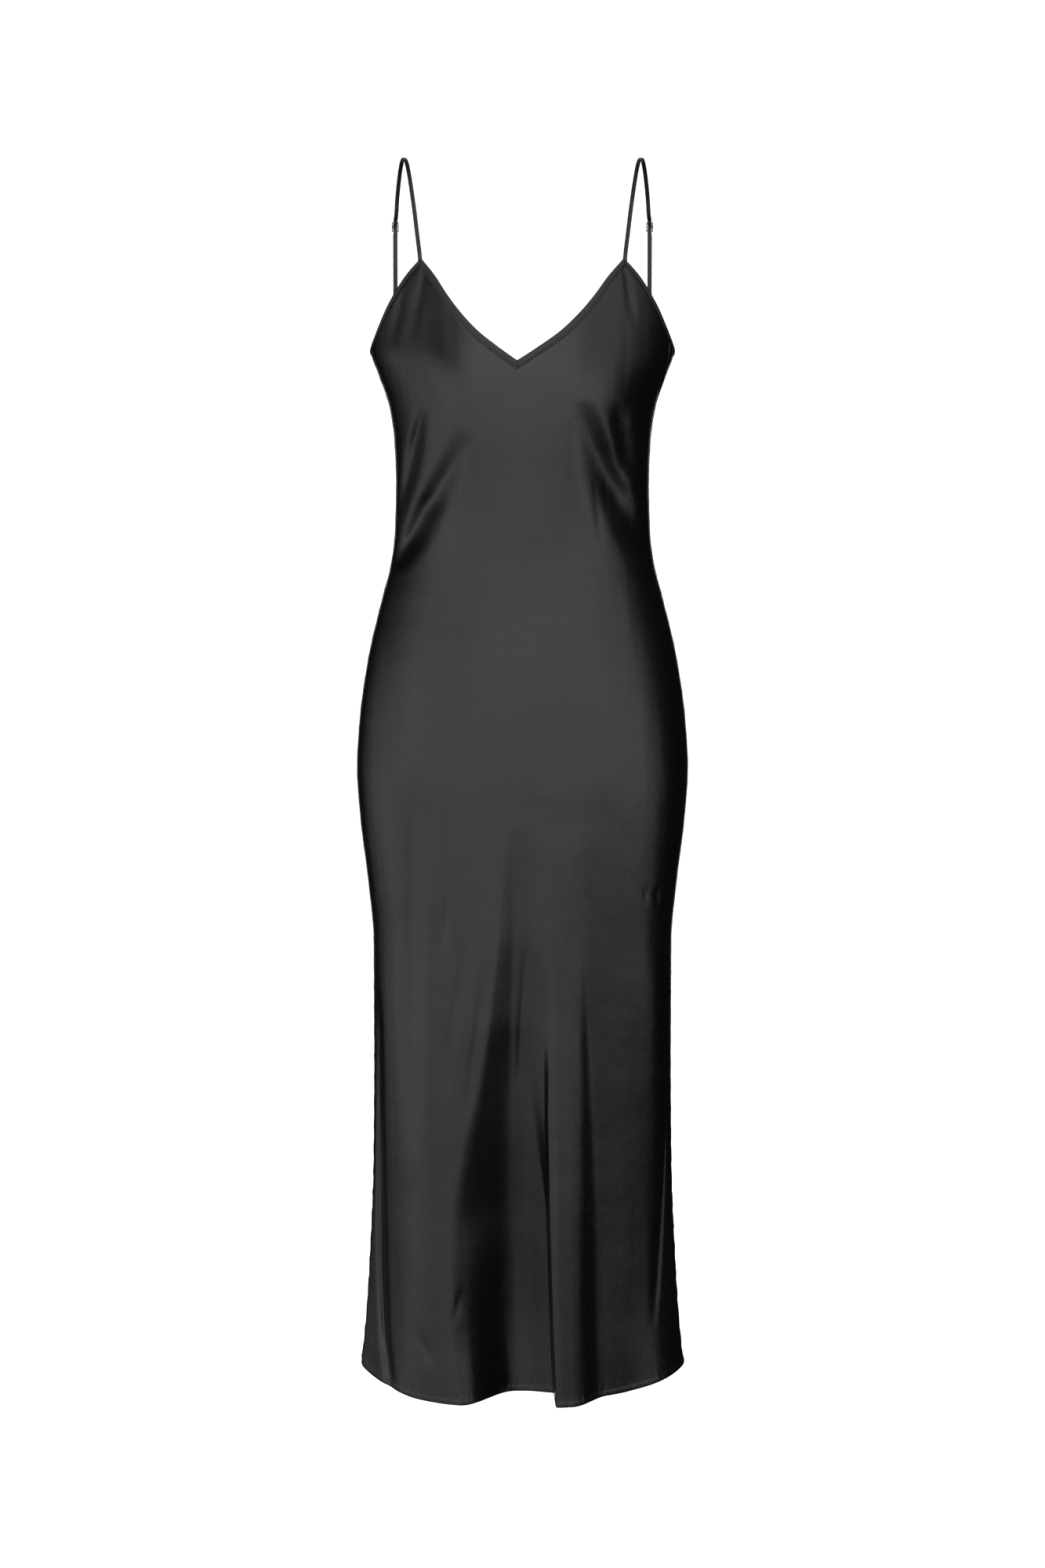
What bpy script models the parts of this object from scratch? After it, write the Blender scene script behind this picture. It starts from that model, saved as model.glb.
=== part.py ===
"""Bias-cut slip dress, filled out as it is worn, in metres, +Z up.

The front faces -Y and +X is on the viewer's right.  The origin is where the
wearer's shoulders carry the dress: midway between the tops of the two straps,
on their underside.  Everything hangs below it.

The cloth is a thin wall around a smooth tube.  SECTIONS gives that tube's half
width and its depth in front of and behind the side line at a number of
heights.  FRONT_FOLDS and BACK_FOLDS press soft folds into it.  The front and
back panels are cut from the tube along the side seams, the armholes, the
neckline and the hem; bindings are folded over the cut edges.
"""

import math
from collections import namedtuple

import bpy
import numpy as np

# ---------------------------------------------------------------- main sizes
CLOTH = 0.0012            # wall of a panel
HEM_CLOTH = 0.0020        # the same wall where the hem is turned up
HEM_TURN = 0.008          # height of the turned hem
GAP = 0.0003              # room between pieces that are sewn together
HEM_AT_SIDES = -1.234     # height of the hem at the side seams
HEM_DROP = 0.016          # how much lower it is at centre front and back

APEX_ANGLE = 40.6         # degrees round from centre front to a front strap point
V_ANGLE = -2.0            # the point of the V sits a little to one side
BACK_POINT_ANGLE = 121.0  # degrees round from centre front to a back strap point

BINDING = 0.0007          # cloth of the bindings
BINDING_GAP = 0.0004
NECK_BINDING_WIDTH = 0.0066
ARM_BINDING_WIDTH = 0.0040

STRAP_WIDTH = 0.0042
STRAP_THICKNESS = 0.0009
SHOULDER_X = 0.1180       # from the centre to the middle of a strap, on top
STRAP_SLANT = 0.217       # sideways run of a strap for each metre from front to back
SLIDER_Z = -0.0655
RING_RADIUS = 0.0046      # to the middle of the wire
RING_WIRE = 0.0007
RING_TOP_Z = -0.1475      # middle of the wire at the top of the ring

# ------------------------------------------------------------ tables of sizes
Section = namedtuple("Section", "z half_width front back")
SECTIONS = [
    Section(-0.060, 0.1500, 0.1000, 0.0600),
    Section(-0.103, 0.1520, 0.1060, 0.0660),
    Section(-0.150, 0.1535, 0.1120, 0.0760),
    Section(-0.191, 0.1518, 0.1160, 0.0830),
    Section(-0.216, 0.1436, 0.1180, 0.0860),
    Section(-0.247, 0.1334, 0.1170, 0.0860),
    Section(-0.279, 0.1288, 0.1140, 0.0820),
    Section(-0.320, 0.1272, 0.1090, 0.0760),
    Section(-0.373, 0.1287, 0.1050, 0.0740),
    Section(-0.405, 0.1330, 0.1050, 0.0780),
    Section(-0.437, 0.1414, 0.1070, 0.0870),
    Section(-0.500, 0.1564, 0.1100, 0.1080),
    Section(-0.564, 0.1656, 0.1110, 0.1210),
    Section(-0.612, 0.1684, 0.1110, 0.1240),
    Section(-0.661, 0.1654, 0.1100, 0.1220),
    Section(-0.726, 0.1578, 0.1080, 0.1160),
    Section(-0.790, 0.1525, 0.1060, 0.1100),
    Section(-0.890, 0.1527, 0.1050, 0.1060),
    Section(-1.021, 0.1543, 0.1070, 0.1050),
    Section(-1.121, 0.1589, 0.1100, 0.1070),
    Section(-1.188, 0.1634, 0.1130, 0.1100),
    Section(-1.260, 0.1710, 0.1170, 0.1130),
]

# How the neckline falls: t is 0 at the point of the V and 1 at the strap point.
Neck = namedtuple("Neck", "t z")
NECKLINE = [
    Neck(0.00, -0.2056), Neck(0.05, -0.1986), Neck(0.21, -0.1868),
    Neck(0.37, -0.1740), Neck(0.54, -0.1565), Neck(0.69, -0.1383),
    Neck(0.83, -0.1200), Neck(1.00, -0.1031),
]

# The armhole and the top of the back, by degrees round from centre front.
Edge = namedtuple("Edge", "angle z")
ARMHOLE = [
    Edge(40.6, -0.1031), Edge(48.2, -0.1193), Edge(57.5, -0.1432),
    Edge(67.2, -0.1671), Edge(73.9, -0.1792), Edge(84.0, -0.1893),
    Edge(92.0, -0.1925), Edge(100.0, -0.1905), Edge(111.0, -0.1810),
    Edge(121.0, -0.1690),
]
BACK_TOP = [
    Edge(121.0, -0.1690), Edge(128.0, -0.1850), Edge(140.0, -0.2160),
    Edge(156.0, -0.2480), Edge(180.0, -0.2620),
]

# The side seams swing a little to the front under the arms.
Seam = namedtuple("Seam", "z left right")
SIDE_SEAM = [
    Seam(-0.160, 81.0, 71.0), Seam(-0.190, 82.5, 73.5), Seam(-0.225, 86.0, 80.0),
    Seam(-0.270, 90.0, 89.0), Seam(-0.330, 90.0, 90.0), Seam(-1.300, 90.0, 90.0),
]

# A fold is a trough across x: one wall from left to left + left_run, a floor,
# and the other wall from right to right + right_run.  A negative depth is a ridge.
Fold = namedtuple("Fold", "z left left_run right right_run depth")
FRONT_FOLDS = {
    "centre_valley": [
        Fold(-0.700, -0.022, 0.016, 0.016, 0.016, 0.000),
        Fold(-0.790, -0.026, 0.015, 0.020, 0.016, 0.006),
        Fold(-0.890, -0.026, 0.016, 0.023, 0.013, 0.013),
        Fold(-0.955, -0.034, 0.026, 0.024, 0.011, 0.019),
        Fold(-1.055, -0.048, 0.038, 0.025, 0.010, 0.027),
        Fold(-1.155, -0.055, 0.045, 0.026, 0.010, 0.033),
        Fold(-1.260, -0.052, 0.044, 0.028, 0.009, 0.036),
    ],
    "right_valley": [
        Fold(-0.745, 0.048, 0.018, 0.078, 0.024, 0.000),
        Fold(-0.830, 0.050, 0.018, 0.076, 0.026, 0.006),
        Fold(-0.930, 0.050, 0.020, 0.078, 0.028, 0.011),
        Fold(-1.055, 0.052, 0.022, 0.083, 0.030, 0.012),
        Fold(-1.155, 0.052, 0.030, 0.092, 0.034, 0.010),
        Fold(-1.260, 0.054, 0.036, 0.100, 0.036, 0.008),
    ],
    "bust_left": [
        Fold(-0.255, -0.074, 0.012, -0.062, 0.014, 0.000),
        Fold(-0.300, -0.096, 0.013, -0.082, 0.016, 0.004),
        Fold(-0.340, -0.117, 0.012, -0.102, 0.018, 0.007),
        Fold(-0.378, -0.126, 0.010, -0.114, 0.018, 0.005),
        Fold(-0.410, -0.130, 0.010, -0.118, 0.016, 0.000),
    ],
    "bust_right": [
        Fold(-0.245, 0.050, 0.012, 0.060, 0.012, 0.000),
        Fold(-0.290, 0.061, 0.014, 0.076, 0.013, 0.004),
        Fold(-0.340, 0.083, 0.015, 0.100, 0.013, 0.007),
        Fold(-0.382, 0.102, 0.016, 0.116, 0.010, 0.005),
        Fold(-0.415, 0.112, 0.014, 0.120, 0.010, 0.000),
    ],
    "side_left": [
        Fold(-0.830, -0.148, 0.008, -0.140, 0.012, 0.000),
        Fold(-0.960, -0.149, 0.008, -0.140, 0.012, 0.007),
        Fold(-1.180, -0.149, 0.009, -0.138, 0.014, 0.010),
        Fold(-1.260, -0.148, 0.010, -0.136, 0.016, 0.008),
    ],
    "side_right": [
        Fold(-0.830, 0.132, 0.010, 0.142, 0.006, 0.000),
        Fold(-0.980, 0.130, 0.012, 0.142, 0.007, 0.007),
        Fold(-1.140, 0.126, 0.014, 0.140, 0.008, 0.008),
        Fold(-1.260, 0.124, 0.014, 0.140, 0.010, 0.004),
    ],
}
BACK_FOLDS = {
    "back_valley_right": [
        Fold(-0.700, 0.018, 0.020, 0.044, 0.020, 0.000),
        Fold(-0.830, 0.014, 0.020, 0.046, 0.022, 0.008),
        Fold(-1.000, 0.008, 0.022, 0.048, 0.026, 0.019),
        Fold(-1.260, 0.002, 0.022, 0.052, 0.034, 0.030),
    ],
    "back_valley_left": [
        Fold(-0.800, -0.086, 0.022, -0.052, 0.016, 0.000),
        Fold(-0.920, -0.090, 0.026, -0.052, 0.014, 0.009),
        Fold(-1.080, -0.094, 0.030, -0.050, 0.014, 0.017),
        Fold(-1.260, -0.098, 0.034, -0.050, 0.016, 0.022),
    ],
    "small_of_back_left": [
        Fold(-0.300, -0.070, 0.016, -0.056, 0.016, 0.000),
        Fold(-0.350, -0.090, 0.018, -0.072, 0.018, 0.005),
        Fold(-0.405, -0.112, 0.016, -0.096, 0.018, 0.004),
        Fold(-0.440, -0.120, 0.014, -0.106, 0.016, 0.000),
    ],
    "small_of_back_right": [
        Fold(-0.285, 0.044, 0.016, 0.060, 0.016, 0.000),
        Fold(-0.340, 0.058, 0.018, 0.076, 0.018, 0.004),
        Fold(-0.395, 0.082, 0.018, 0.100, 0.016, 0.005),
        Fold(-0.435, 0.096, 0.016, 0.108, 0.014, 0.000),
    ],
}
# Soft fullness over the bust.
BUST_X, BUST_Z, BUST_FULLNESS = 0.071, -0.236, 0.012
BUST_ACROSS, BUST_UP, BUST_DOWN = 0.043, 0.062, 0.050

# A strap seen from the side: p runs from front to back along it, from the shoulder.
StrapPoint = namedtuple("StrapPoint", "p z")
STRAP_RUN = [
    StrapPoint(-0.0850, -0.1012), StrapPoint(-0.0785, -0.0900),
    StrapPoint(-0.0700, -0.0770), StrapPoint(-0.0580, -0.0580),
    StrapPoint(-0.0460, -0.0410), StrapPoint(-0.0340, -0.0255),
    StrapPoint(-0.0220, -0.0125), StrapPoint(-0.0110, -0.0040),
    StrapPoint(0.0000, -0.0005), StrapPoint(0.0110, -0.0030),
    StrapPoint(0.0210, -0.0105), StrapPoint(0.0310, -0.0230),
    StrapPoint(0.0400, -0.0380), StrapPoint(0.0465, -0.0540),
]


# ------------------------------------------------------------------ functions
def smooth(rows, column, at, key="z"):
    """A column of a table as a smooth function of another, at the given values."""
    x = np.array([getattr(r, key) for r in rows], float)
    y = np.array([getattr(r, column) for r in rows], float)
    if x[0] > x[-1]:
        x, y = x[::-1], y[::-1]
    h, slope = np.diff(x), np.diff(y) / np.diff(x)
    m = np.zeros(len(x))
    flat = slope[:-1] * slope[1:] <= 0
    w1, w2 = 2 * h[1:] + h[:-1], h[1:] + 2 * h[:-1]
    with np.errstate(divide="ignore", invalid="ignore"):
        mean = (w1 + w2) / (w1 / slope[:-1] + w2 / slope[1:])
    m[1:-1] = np.where(flat, 0.0, mean)
    m[0], m[-1] = slope[0], slope[-1]
    at = np.clip(np.asarray(at, float), x[0], x[-1])
    i = np.clip(np.searchsorted(x, at) - 1, 0, len(x) - 2)
    t = (at - x[i]) / h[i]
    return (
        y[i] * (1 + 2 * t) * (1 - t) ** 2 + m[i] * h[i] * t * (1 - t) ** 2
        + y[i + 1] * t * t * (3 - 2 * t) + m[i + 1] * h[i] * t * t * (t - 1)
    )


def ease(t):
    t = np.clip(t, 0, 1)
    return t * t * (3 - 2 * t)


def folded(folds, x, z):
    """How far the folds press the cloth inwards at x across and z up."""
    total = np.zeros(np.broadcast(x, z).shape)
    for rows in folds.values():
        get = {c: smooth(rows, c, z) for c in Fold._fields[1:]}
        inside = (z <= rows[0].z) & (z >= rows[-1].z)
        wall = ease((x - get["left"]) / get["left_run"])
        wall = wall * (1 - ease((x - get["right"]) / get["right_run"]))
        total = total + np.where(inside, get["depth"] * wall, 0.0)
    return total


def tube(angle, z):
    """Middle of the cloth, at degrees round from centre front and height z."""
    angle, z = np.broadcast_arrays(np.asarray(angle, float), np.asarray(z, float))
    turn = np.radians(angle)
    x = smooth(SECTIONS, "half_width", z) * np.sin(turn)
    c = np.cos(turn)
    front = -smooth(SECTIONS, "front", z) * np.abs(c) ** 0.90
    up = np.where(z > BUST_Z, BUST_UP, BUST_DOWN)
    for side in (-1, 1):
        front = front - BUST_FULLNESS * np.exp(
            -(((x - side * BUST_X) / BUST_ACROSS) ** 2) - ((z - BUST_Z) / up) ** 2
        ) * ease(c / 0.3)
    front = front + folded(FRONT_FOLDS, x, z)
    back = smooth(SECTIONS, "back", z) * np.abs(c) ** 0.80 - folded(BACK_FOLDS, x, z)
    return np.stack([x, np.where(c >= 0, front, back), z], axis=-1)


def outward(angle, z):
    """The cloth's outward direction."""
    round_it = tube(angle + 0.6, z) - tube(angle - 0.6, z)
    up = tube(angle, z + 0.0015) - tube(angle, z - 0.0015)
    n = np.cross(round_it, up)
    return n / np.linalg.norm(n, axis=-1, keepdims=True)


def top_edge(angle):
    """Height of the cut edge round the top, by degrees round from centre front."""
    angle = (np.asarray(angle, float) + 180) % 360 - 180
    a = np.abs(angle)
    t = np.abs(angle - V_ANGLE) / (APEX_ANGLE - V_ANGLE * np.sign(angle - V_ANGLE))
    neck = smooth(NECKLINE, "z", np.clip(t, 0, 1), key="t")
    arm = smooth(ARMHOLE, "z", a, key="angle")
    back = smooth(BACK_TOP, "z", a, key="angle")
    return np.where(a < APEX_ANGLE, neck, np.where(a < BACK_POINT_ANGLE, arm, back))


def hem_edge(angle):
    return HEM_AT_SIDES - HEM_DROP * np.abs(np.cos(np.radians(angle))) ** 0.8


def seam_angle(side, z):
    """Degrees round from centre front to a side seam; side is -1 or 1."""
    return smooth(SIDE_SEAM, "right" if side > 0 else "left", z)


def seam_gap(angle, z):
    """Half a seam's gap, in degrees."""
    step = np.linalg.norm(tube(angle + 0.5, z) - tube(angle - 0.5, z), axis=-1)
    return (GAP / 2 + 0.00002) / step


def columns(panel, cells, z):
    """The angles of a panel's columns, left to right, at each height z."""
    z = np.asarray(z, float)
    left, right = seam_angle(-1, z), seam_angle(1, z)
    if panel == "front":
        left, right = left - seam_gap(-left, z), right - seam_gap(right, z)
        ends = [-left, -APEX_ANGLE, V_ANGLE, APEX_ANGLE, right]
    else:
        left, right = left + seam_gap(-left, z), right + seam_gap(right, z)
        ends = [right, BACK_POINT_ANGLE, 180.0, 360 - BACK_POINT_ANGLE, 360 - left]
    ends = [end + 0 * z for end in ends]
    made = [
        a + (b - a) * k / n
        for a, b, n in zip(ends, ends[1:], cells) for k in range(n)
    ]
    return np.array([*made, ends[-1]])


def unit(v):
    return v / np.linalg.norm(v)


def lean(before, after, down):
    """How far a binding's width stretches down a column: the sine of the angle
    between the column and the edge."""
    along = unit(unit(before) + unit(after))
    return max(0.35, math.sqrt(max(1e-6, 1 - float(unit(down) @ along) ** 2)))


def panel_grid(panel, cells, bands):
    """Middle points, outward directions and half thicknesses, column by row.
    The second row lies along the lower edges of the bindings, which bands lists
    as first column, last column and width."""
    tops = np.full(sum(cells) + 1, -0.2)
    for _ in range(12):  # the seam's angle depends on the height of the edge
        tops = top_edge(np.diagonal(columns(panel, cells, tops)))
    lows = hem_edge(columns(panel, cells, HEM_AT_SIDES))
    turn = lows + HEM_TURN
    second = tops - 0.008
    for _ in range(3):
        pair = np.array([tops, second]).T
        angle = np.array([columns(panel, cells, pair[i])[i] for i in range(len(pair))])
        ends = tube(angle, pair)
        reach = np.zeros(len(pair))
        for first, last, width in bands:
            for i in range(first, last + 1):
                before = ends[i, 0] - ends[i - 1, 0] if i > first else None
                after = ends[i + 1, 0] - ends[i, 0] if i < last else before
                before = after if before is None else before
                down = ends[i, 1] - ends[i, 0]
                reach[i] = max(reach[i], width / lean(before, after, down))
        steep = (tops - second) / np.linalg.norm(ends[:, 1] - ends[:, 0], axis=1)
        second = tops - reach * steep
    rows = [second + (turn + 0.001 - second) * s for s in ROWS]
    z = np.array([tops, *rows, turn + 0.001, turn, lows]).T
    angle = np.array([columns(panel, cells, z[i])[i] for i in range(len(z))])
    half = np.full(z.shape, CLOTH / 2)
    half[:, -2:] = HEM_CLOTH / 2
    return tube(angle, z), outward(angle, z), half


def finish(name, points, faces, colour, roughness=0.4, metallic=0.0, flat=False):
    """One named object with its own material."""
    mesh = bpy.data.meshes.new(name)
    mesh.from_pydata([tuple(p) for p in points], [], faces)
    mesh.update()
    obj = bpy.data.objects.new(name, mesh)
    bpy.context.scene.collection.objects.link(obj)
    if not flat:
        mesh.shade_smooth()
        mesh.set_sharp_from_angle(angle=math.radians(50))
    material = bpy.data.materials.new(name)
    material.use_nodes = True
    shader = material.node_tree.nodes["Principled BSDF"]
    shader.inputs["Base Color"].default_value = (*colour, 1.0)
    shader.inputs["Roughness"].default_value = roughness
    shader.inputs["Metallic"].default_value = metallic
    mesh.materials.append(material)
    return obj


def wall(name, middle, normal, half, colour):
    """A closed wall of cloth over a grid of points."""
    across, down = middle.shape[:2]
    outer = middle + normal * half[..., None]
    inner = middle - normal * half[..., None]
    points = np.concatenate([outer.reshape(-1, 3), inner.reshape(-1, 3)])
    n = across * down

    def o(i, j):
        return i * down + j

    faces = []
    for i in range(across - 1):
        for j in range(down - 1):
            a, b, c, d = o(i, j), o(i, j + 1), o(i + 1, j + 1), o(i + 1, j)
            faces += [(a, b, c), (a, c, d), (n + c, n + b, n + a), (n + d, n + c, n + a)]
    for i in range(across - 1):
        a, b = o(i, 0), o(i + 1, 0)
        faces.append((b, n + b, n + a, a))
        a, b = o(i, down - 1), o(i + 1, down - 1)
        faces.append((a, n + a, n + b, b))
    for j in range(down - 1):
        a, b = o(0, j), o(0, j + 1)
        faces.append((a, n + a, n + b, b))
        a, b = o(across - 1, j), o(across - 1, j + 1)
        faces.append((b, n + b, n + a, a))
    return finish(name, points, faces, colour)


def sweep(name, rings, colour, **look):
    """A closed solid through rings of points, capped at both ends."""
    rings = np.asarray(rings, float)
    count, around = rings.shape[:2]
    faces = []
    for i in range(count - 1):
        for k in range(around):
            a, b = i * around + k, i * around + (k + 1) % around
            c, d = b + around, a + around
            # the diagonals run the way the panels' do
            faces += [(a, b, d), (b, c, d)] if k % 4 == 2 else [(a, b, c), (a, c, d)]
    faces.append(tuple(range(around))[::-1])
    faces.append(tuple((count - 1) * around + k for k in range(around)))
    return finish(name, rings.reshape(-1, 3), faces, colour, **look)


def turned_out(obj):
    """The same object with its faces pointing out."""
    mesh = obj.data
    volume = 0.0
    mesh.calc_loop_triangles()
    for t in mesh.loop_triangles:
        a, b, c = (mesh.vertices[i].co for i in t.vertices)
        volume += a.dot(b.cross(c))
    if volume < 0:
        mesh.flip_normals()
    return obj


def binding(name, edge, width, colour, trim=GAP / 2):
    """A strip folded over a cut edge.  edge lists, for each column of the panel
    along it, the middle point and outward direction at the edge and at the next
    row down, so that the strip keeps the panel's own facets."""
    tops = np.array([e[0] for e in edge])
    last = len(edge) - 1
    rings = []
    for i, (top, below, n_top, n_below) in enumerate(edge):
        before = tops[i] - tops[i - 1] if i else tops[1] - tops[0]
        after = tops[i + 1] - tops[i] if i < last else before
        slope = lean(before, after, below - top)
        reach = np.linalg.norm(below - top)
        shift = np.zeros(3)
        if i in (0, last):
            shift = unit(after) * (trim if i == 0 else -trim) / slope
        inside, outside = BINDING_GAP, BINDING_GAP + BINDING
        half = CLOTH / 2
        ring = []
        for along_down, out in (
            (-outside, half + outside), (width, half + outside),
            (width, half + inside), (-inside, half + inside),
            (-inside, -half - inside), (width, -half - inside),
            (width, -half - outside), (-outside, -half - outside),
        ):
            t = along_down / slope / reach
            n = n_top + (n_below - n_top) * max(t, 0.0)
            ring.append(top + (below - top) * t + n * out + shift)
        rings.append(ring)
    return turned_out(sweep(name, rings, colour))


def ribbon(name, path, width, thickness, along, colour):
    """A flat strap: a path in a vertical plane, thickened in it and given a width
    square to it.  path is a list of (p, z); along(p, z, w) gives the point."""
    path = np.array(path, float)
    ahead = np.diff(path, axis=0)
    ahead = ahead / np.linalg.norm(ahead, axis=1, keepdims=True)
    rings = []
    for i, (p, z) in enumerate(path):
        a = ahead[max(i - 1, 0)]
        b = ahead[min(i, len(ahead) - 1)]
        mid = (a + b) / np.linalg.norm(a + b)
        miter = thickness / 2 / max(0.5, float(mid @ b))
        off = np.array([-mid[1], mid[0]]) * miter
        rings.append([
            along(p + off[0], z + off[1], -width / 2), along(p + off[0], z + off[1], width / 2),
            along(p - off[0], z - off[1], width / 2), along(p - off[0], z - off[1], -width / 2),
        ])
    return turned_out(sweep(name, rings, colour))


def arc(centre, radius, start, stop, steps):
    """Points of an arc in the strap's plane, in degrees from +p towards +z."""
    return [
        (centre[0] + radius * math.cos(math.radians(a)),
         centre[1] + radius * math.sin(math.radians(a)))
        for a in np.linspace(start, stop, steps + 1)
    ]


# ---------------------------------------------------------------- clear scene
for old in list(bpy.data.objects):
    bpy.data.objects.remove(old, do_unlink=True)

BLACK_SATIN = (0.012, 0.012, 0.013)
BINDING_SATIN = (0.016, 0.016, 0.017)
STRAP_SATIN = (0.010, 0.010, 0.011)
HARDWARE = (0.008, 0.008, 0.008)

# --------------------------------------------------------------------- panels
FRONT_CELLS = (8, 10, 10, 8)
BACK_CELLS = (5, 8, 8, 5)
# Shares of the way from the bindings' lower edge to the hem.
ROWS = (0.0, 0.016, 0.036, 0.058, 0.083, 0.11, 0.138, 0.17, 0.205, 0.243, 0.284,
        0.33, 0.375, 0.42, 0.465, 0.505, 0.545, 0.585, 0.625, 0.665, 0.705, 0.75, 0.795,
        0.845, 0.895, 0.945)

apex_left = FRONT_CELLS[0]
vee = apex_left + FRONT_CELLS[1]
apex_right = vee + FRONT_CELLS[2]
side_right = sum(FRONT_CELLS)
point_right = BACK_CELLS[0]
point_left = sum(BACK_CELLS[:3])
side_left = sum(BACK_CELLS)

front = panel_grid("front", FRONT_CELLS, (
    (0, apex_left, ARM_BINDING_WIDTH), (apex_left, vee, NECK_BINDING_WIDTH),
    (vee, apex_right, NECK_BINDING_WIDTH), (apex_right, side_right, ARM_BINDING_WIDTH),
))
back = panel_grid("back", BACK_CELLS, (
    (0, point_right, ARM_BINDING_WIDTH), (point_right, point_left, ARM_BINDING_WIDTH),
    (point_left, side_left, ARM_BINDING_WIDTH),
))
wall("front_panel", *front, BLACK_SATIN)
wall("back_panel", *back, BLACK_SATIN)


# ------------------------------------------------------------------- bindings
def edge_of(grid, first, last):
    """The edge data of a panel's columns, for binding()."""
    step = 1 if last >= first else -1
    return [(grid[0][i, 0], grid[0][i, 1], grid[1][i, 0], grid[1][i, 1])
            for i in range(first, last + step, step)]


binding("neck_binding_left", edge_of(front, apex_left, vee), NECK_BINDING_WIDTH,
        BINDING_SATIN)
binding("neck_binding_right", edge_of(front, vee, apex_right), NECK_BINDING_WIDTH,
        BINDING_SATIN)
binding("armhole_binding_right",
        edge_of(front, apex_right, side_right) + edge_of(back, 1, point_right),
        ARM_BINDING_WIDTH, BINDING_SATIN)
binding("armhole_binding_left",
        edge_of(back, point_left, side_left - 1) + edge_of(front, 0, apex_left),
        ARM_BINDING_WIDTH, BINDING_SATIN)
binding("back_neck_binding", edge_of(back, point_right, point_left), ARM_BINDING_WIDTH,
        BINDING_SATIN)

# --------------------------------------------------- straps, sliders and rings
BAR = 0.0009                      # wire of a slider, square in section
SLIDER_WIDTH, SLIDER_HEIGHT = 0.0070, 0.0094
run_scale = math.hypot(1.0, STRAP_SLANT)


def strap_frame(side):
    """A function from a place in the strap's own plane to the garment's frame."""
    ahead = np.array([side * STRAP_SLANT, 1.0, 0.0]) / run_scale
    width = np.array([1.0, -side * STRAP_SLANT, 0.0]) / run_scale

    def along(p, z, w):
        return np.array([side * SHOULDER_X, 0.0, z]) + ahead * p + width * w

    return along


def strap_path():
    """The strap's middle line: up from the front strap point, over the shoulder,
    through the slider, down to the ring, round its wire and up to the slider."""
    p_back = 0.0500
    steps = [(q.p, q.z) for q in STRAP_RUN]
    centre = (p_back + 0.0026, SLIDER_Z)
    swing = STRAP_THICKNESS / 2 + BAR / 2 + GAP + 0.00005
    lift = SLIDER_HEIGHT / 2
    # behind the top bar, outside the middle bar, behind the low bar
    steps += [
        (centre[0] - swing - 0.0007, centre[1] + lift + 0.0016),
        (centre[0] - swing, centre[1] + lift - BAR - 0.0002),
        (centre[0] + swing, centre[1] + BAR / 2 + 0.0001),
        (centre[0] + swing, centre[1] - BAR / 2 - 0.0001),
        (centre[0] - swing, centre[1] - lift + BAR + 0.0002),
        (centre[0] - swing, centre[1] - lift - 0.0003),
    ]
    return steps, centre, swing


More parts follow.
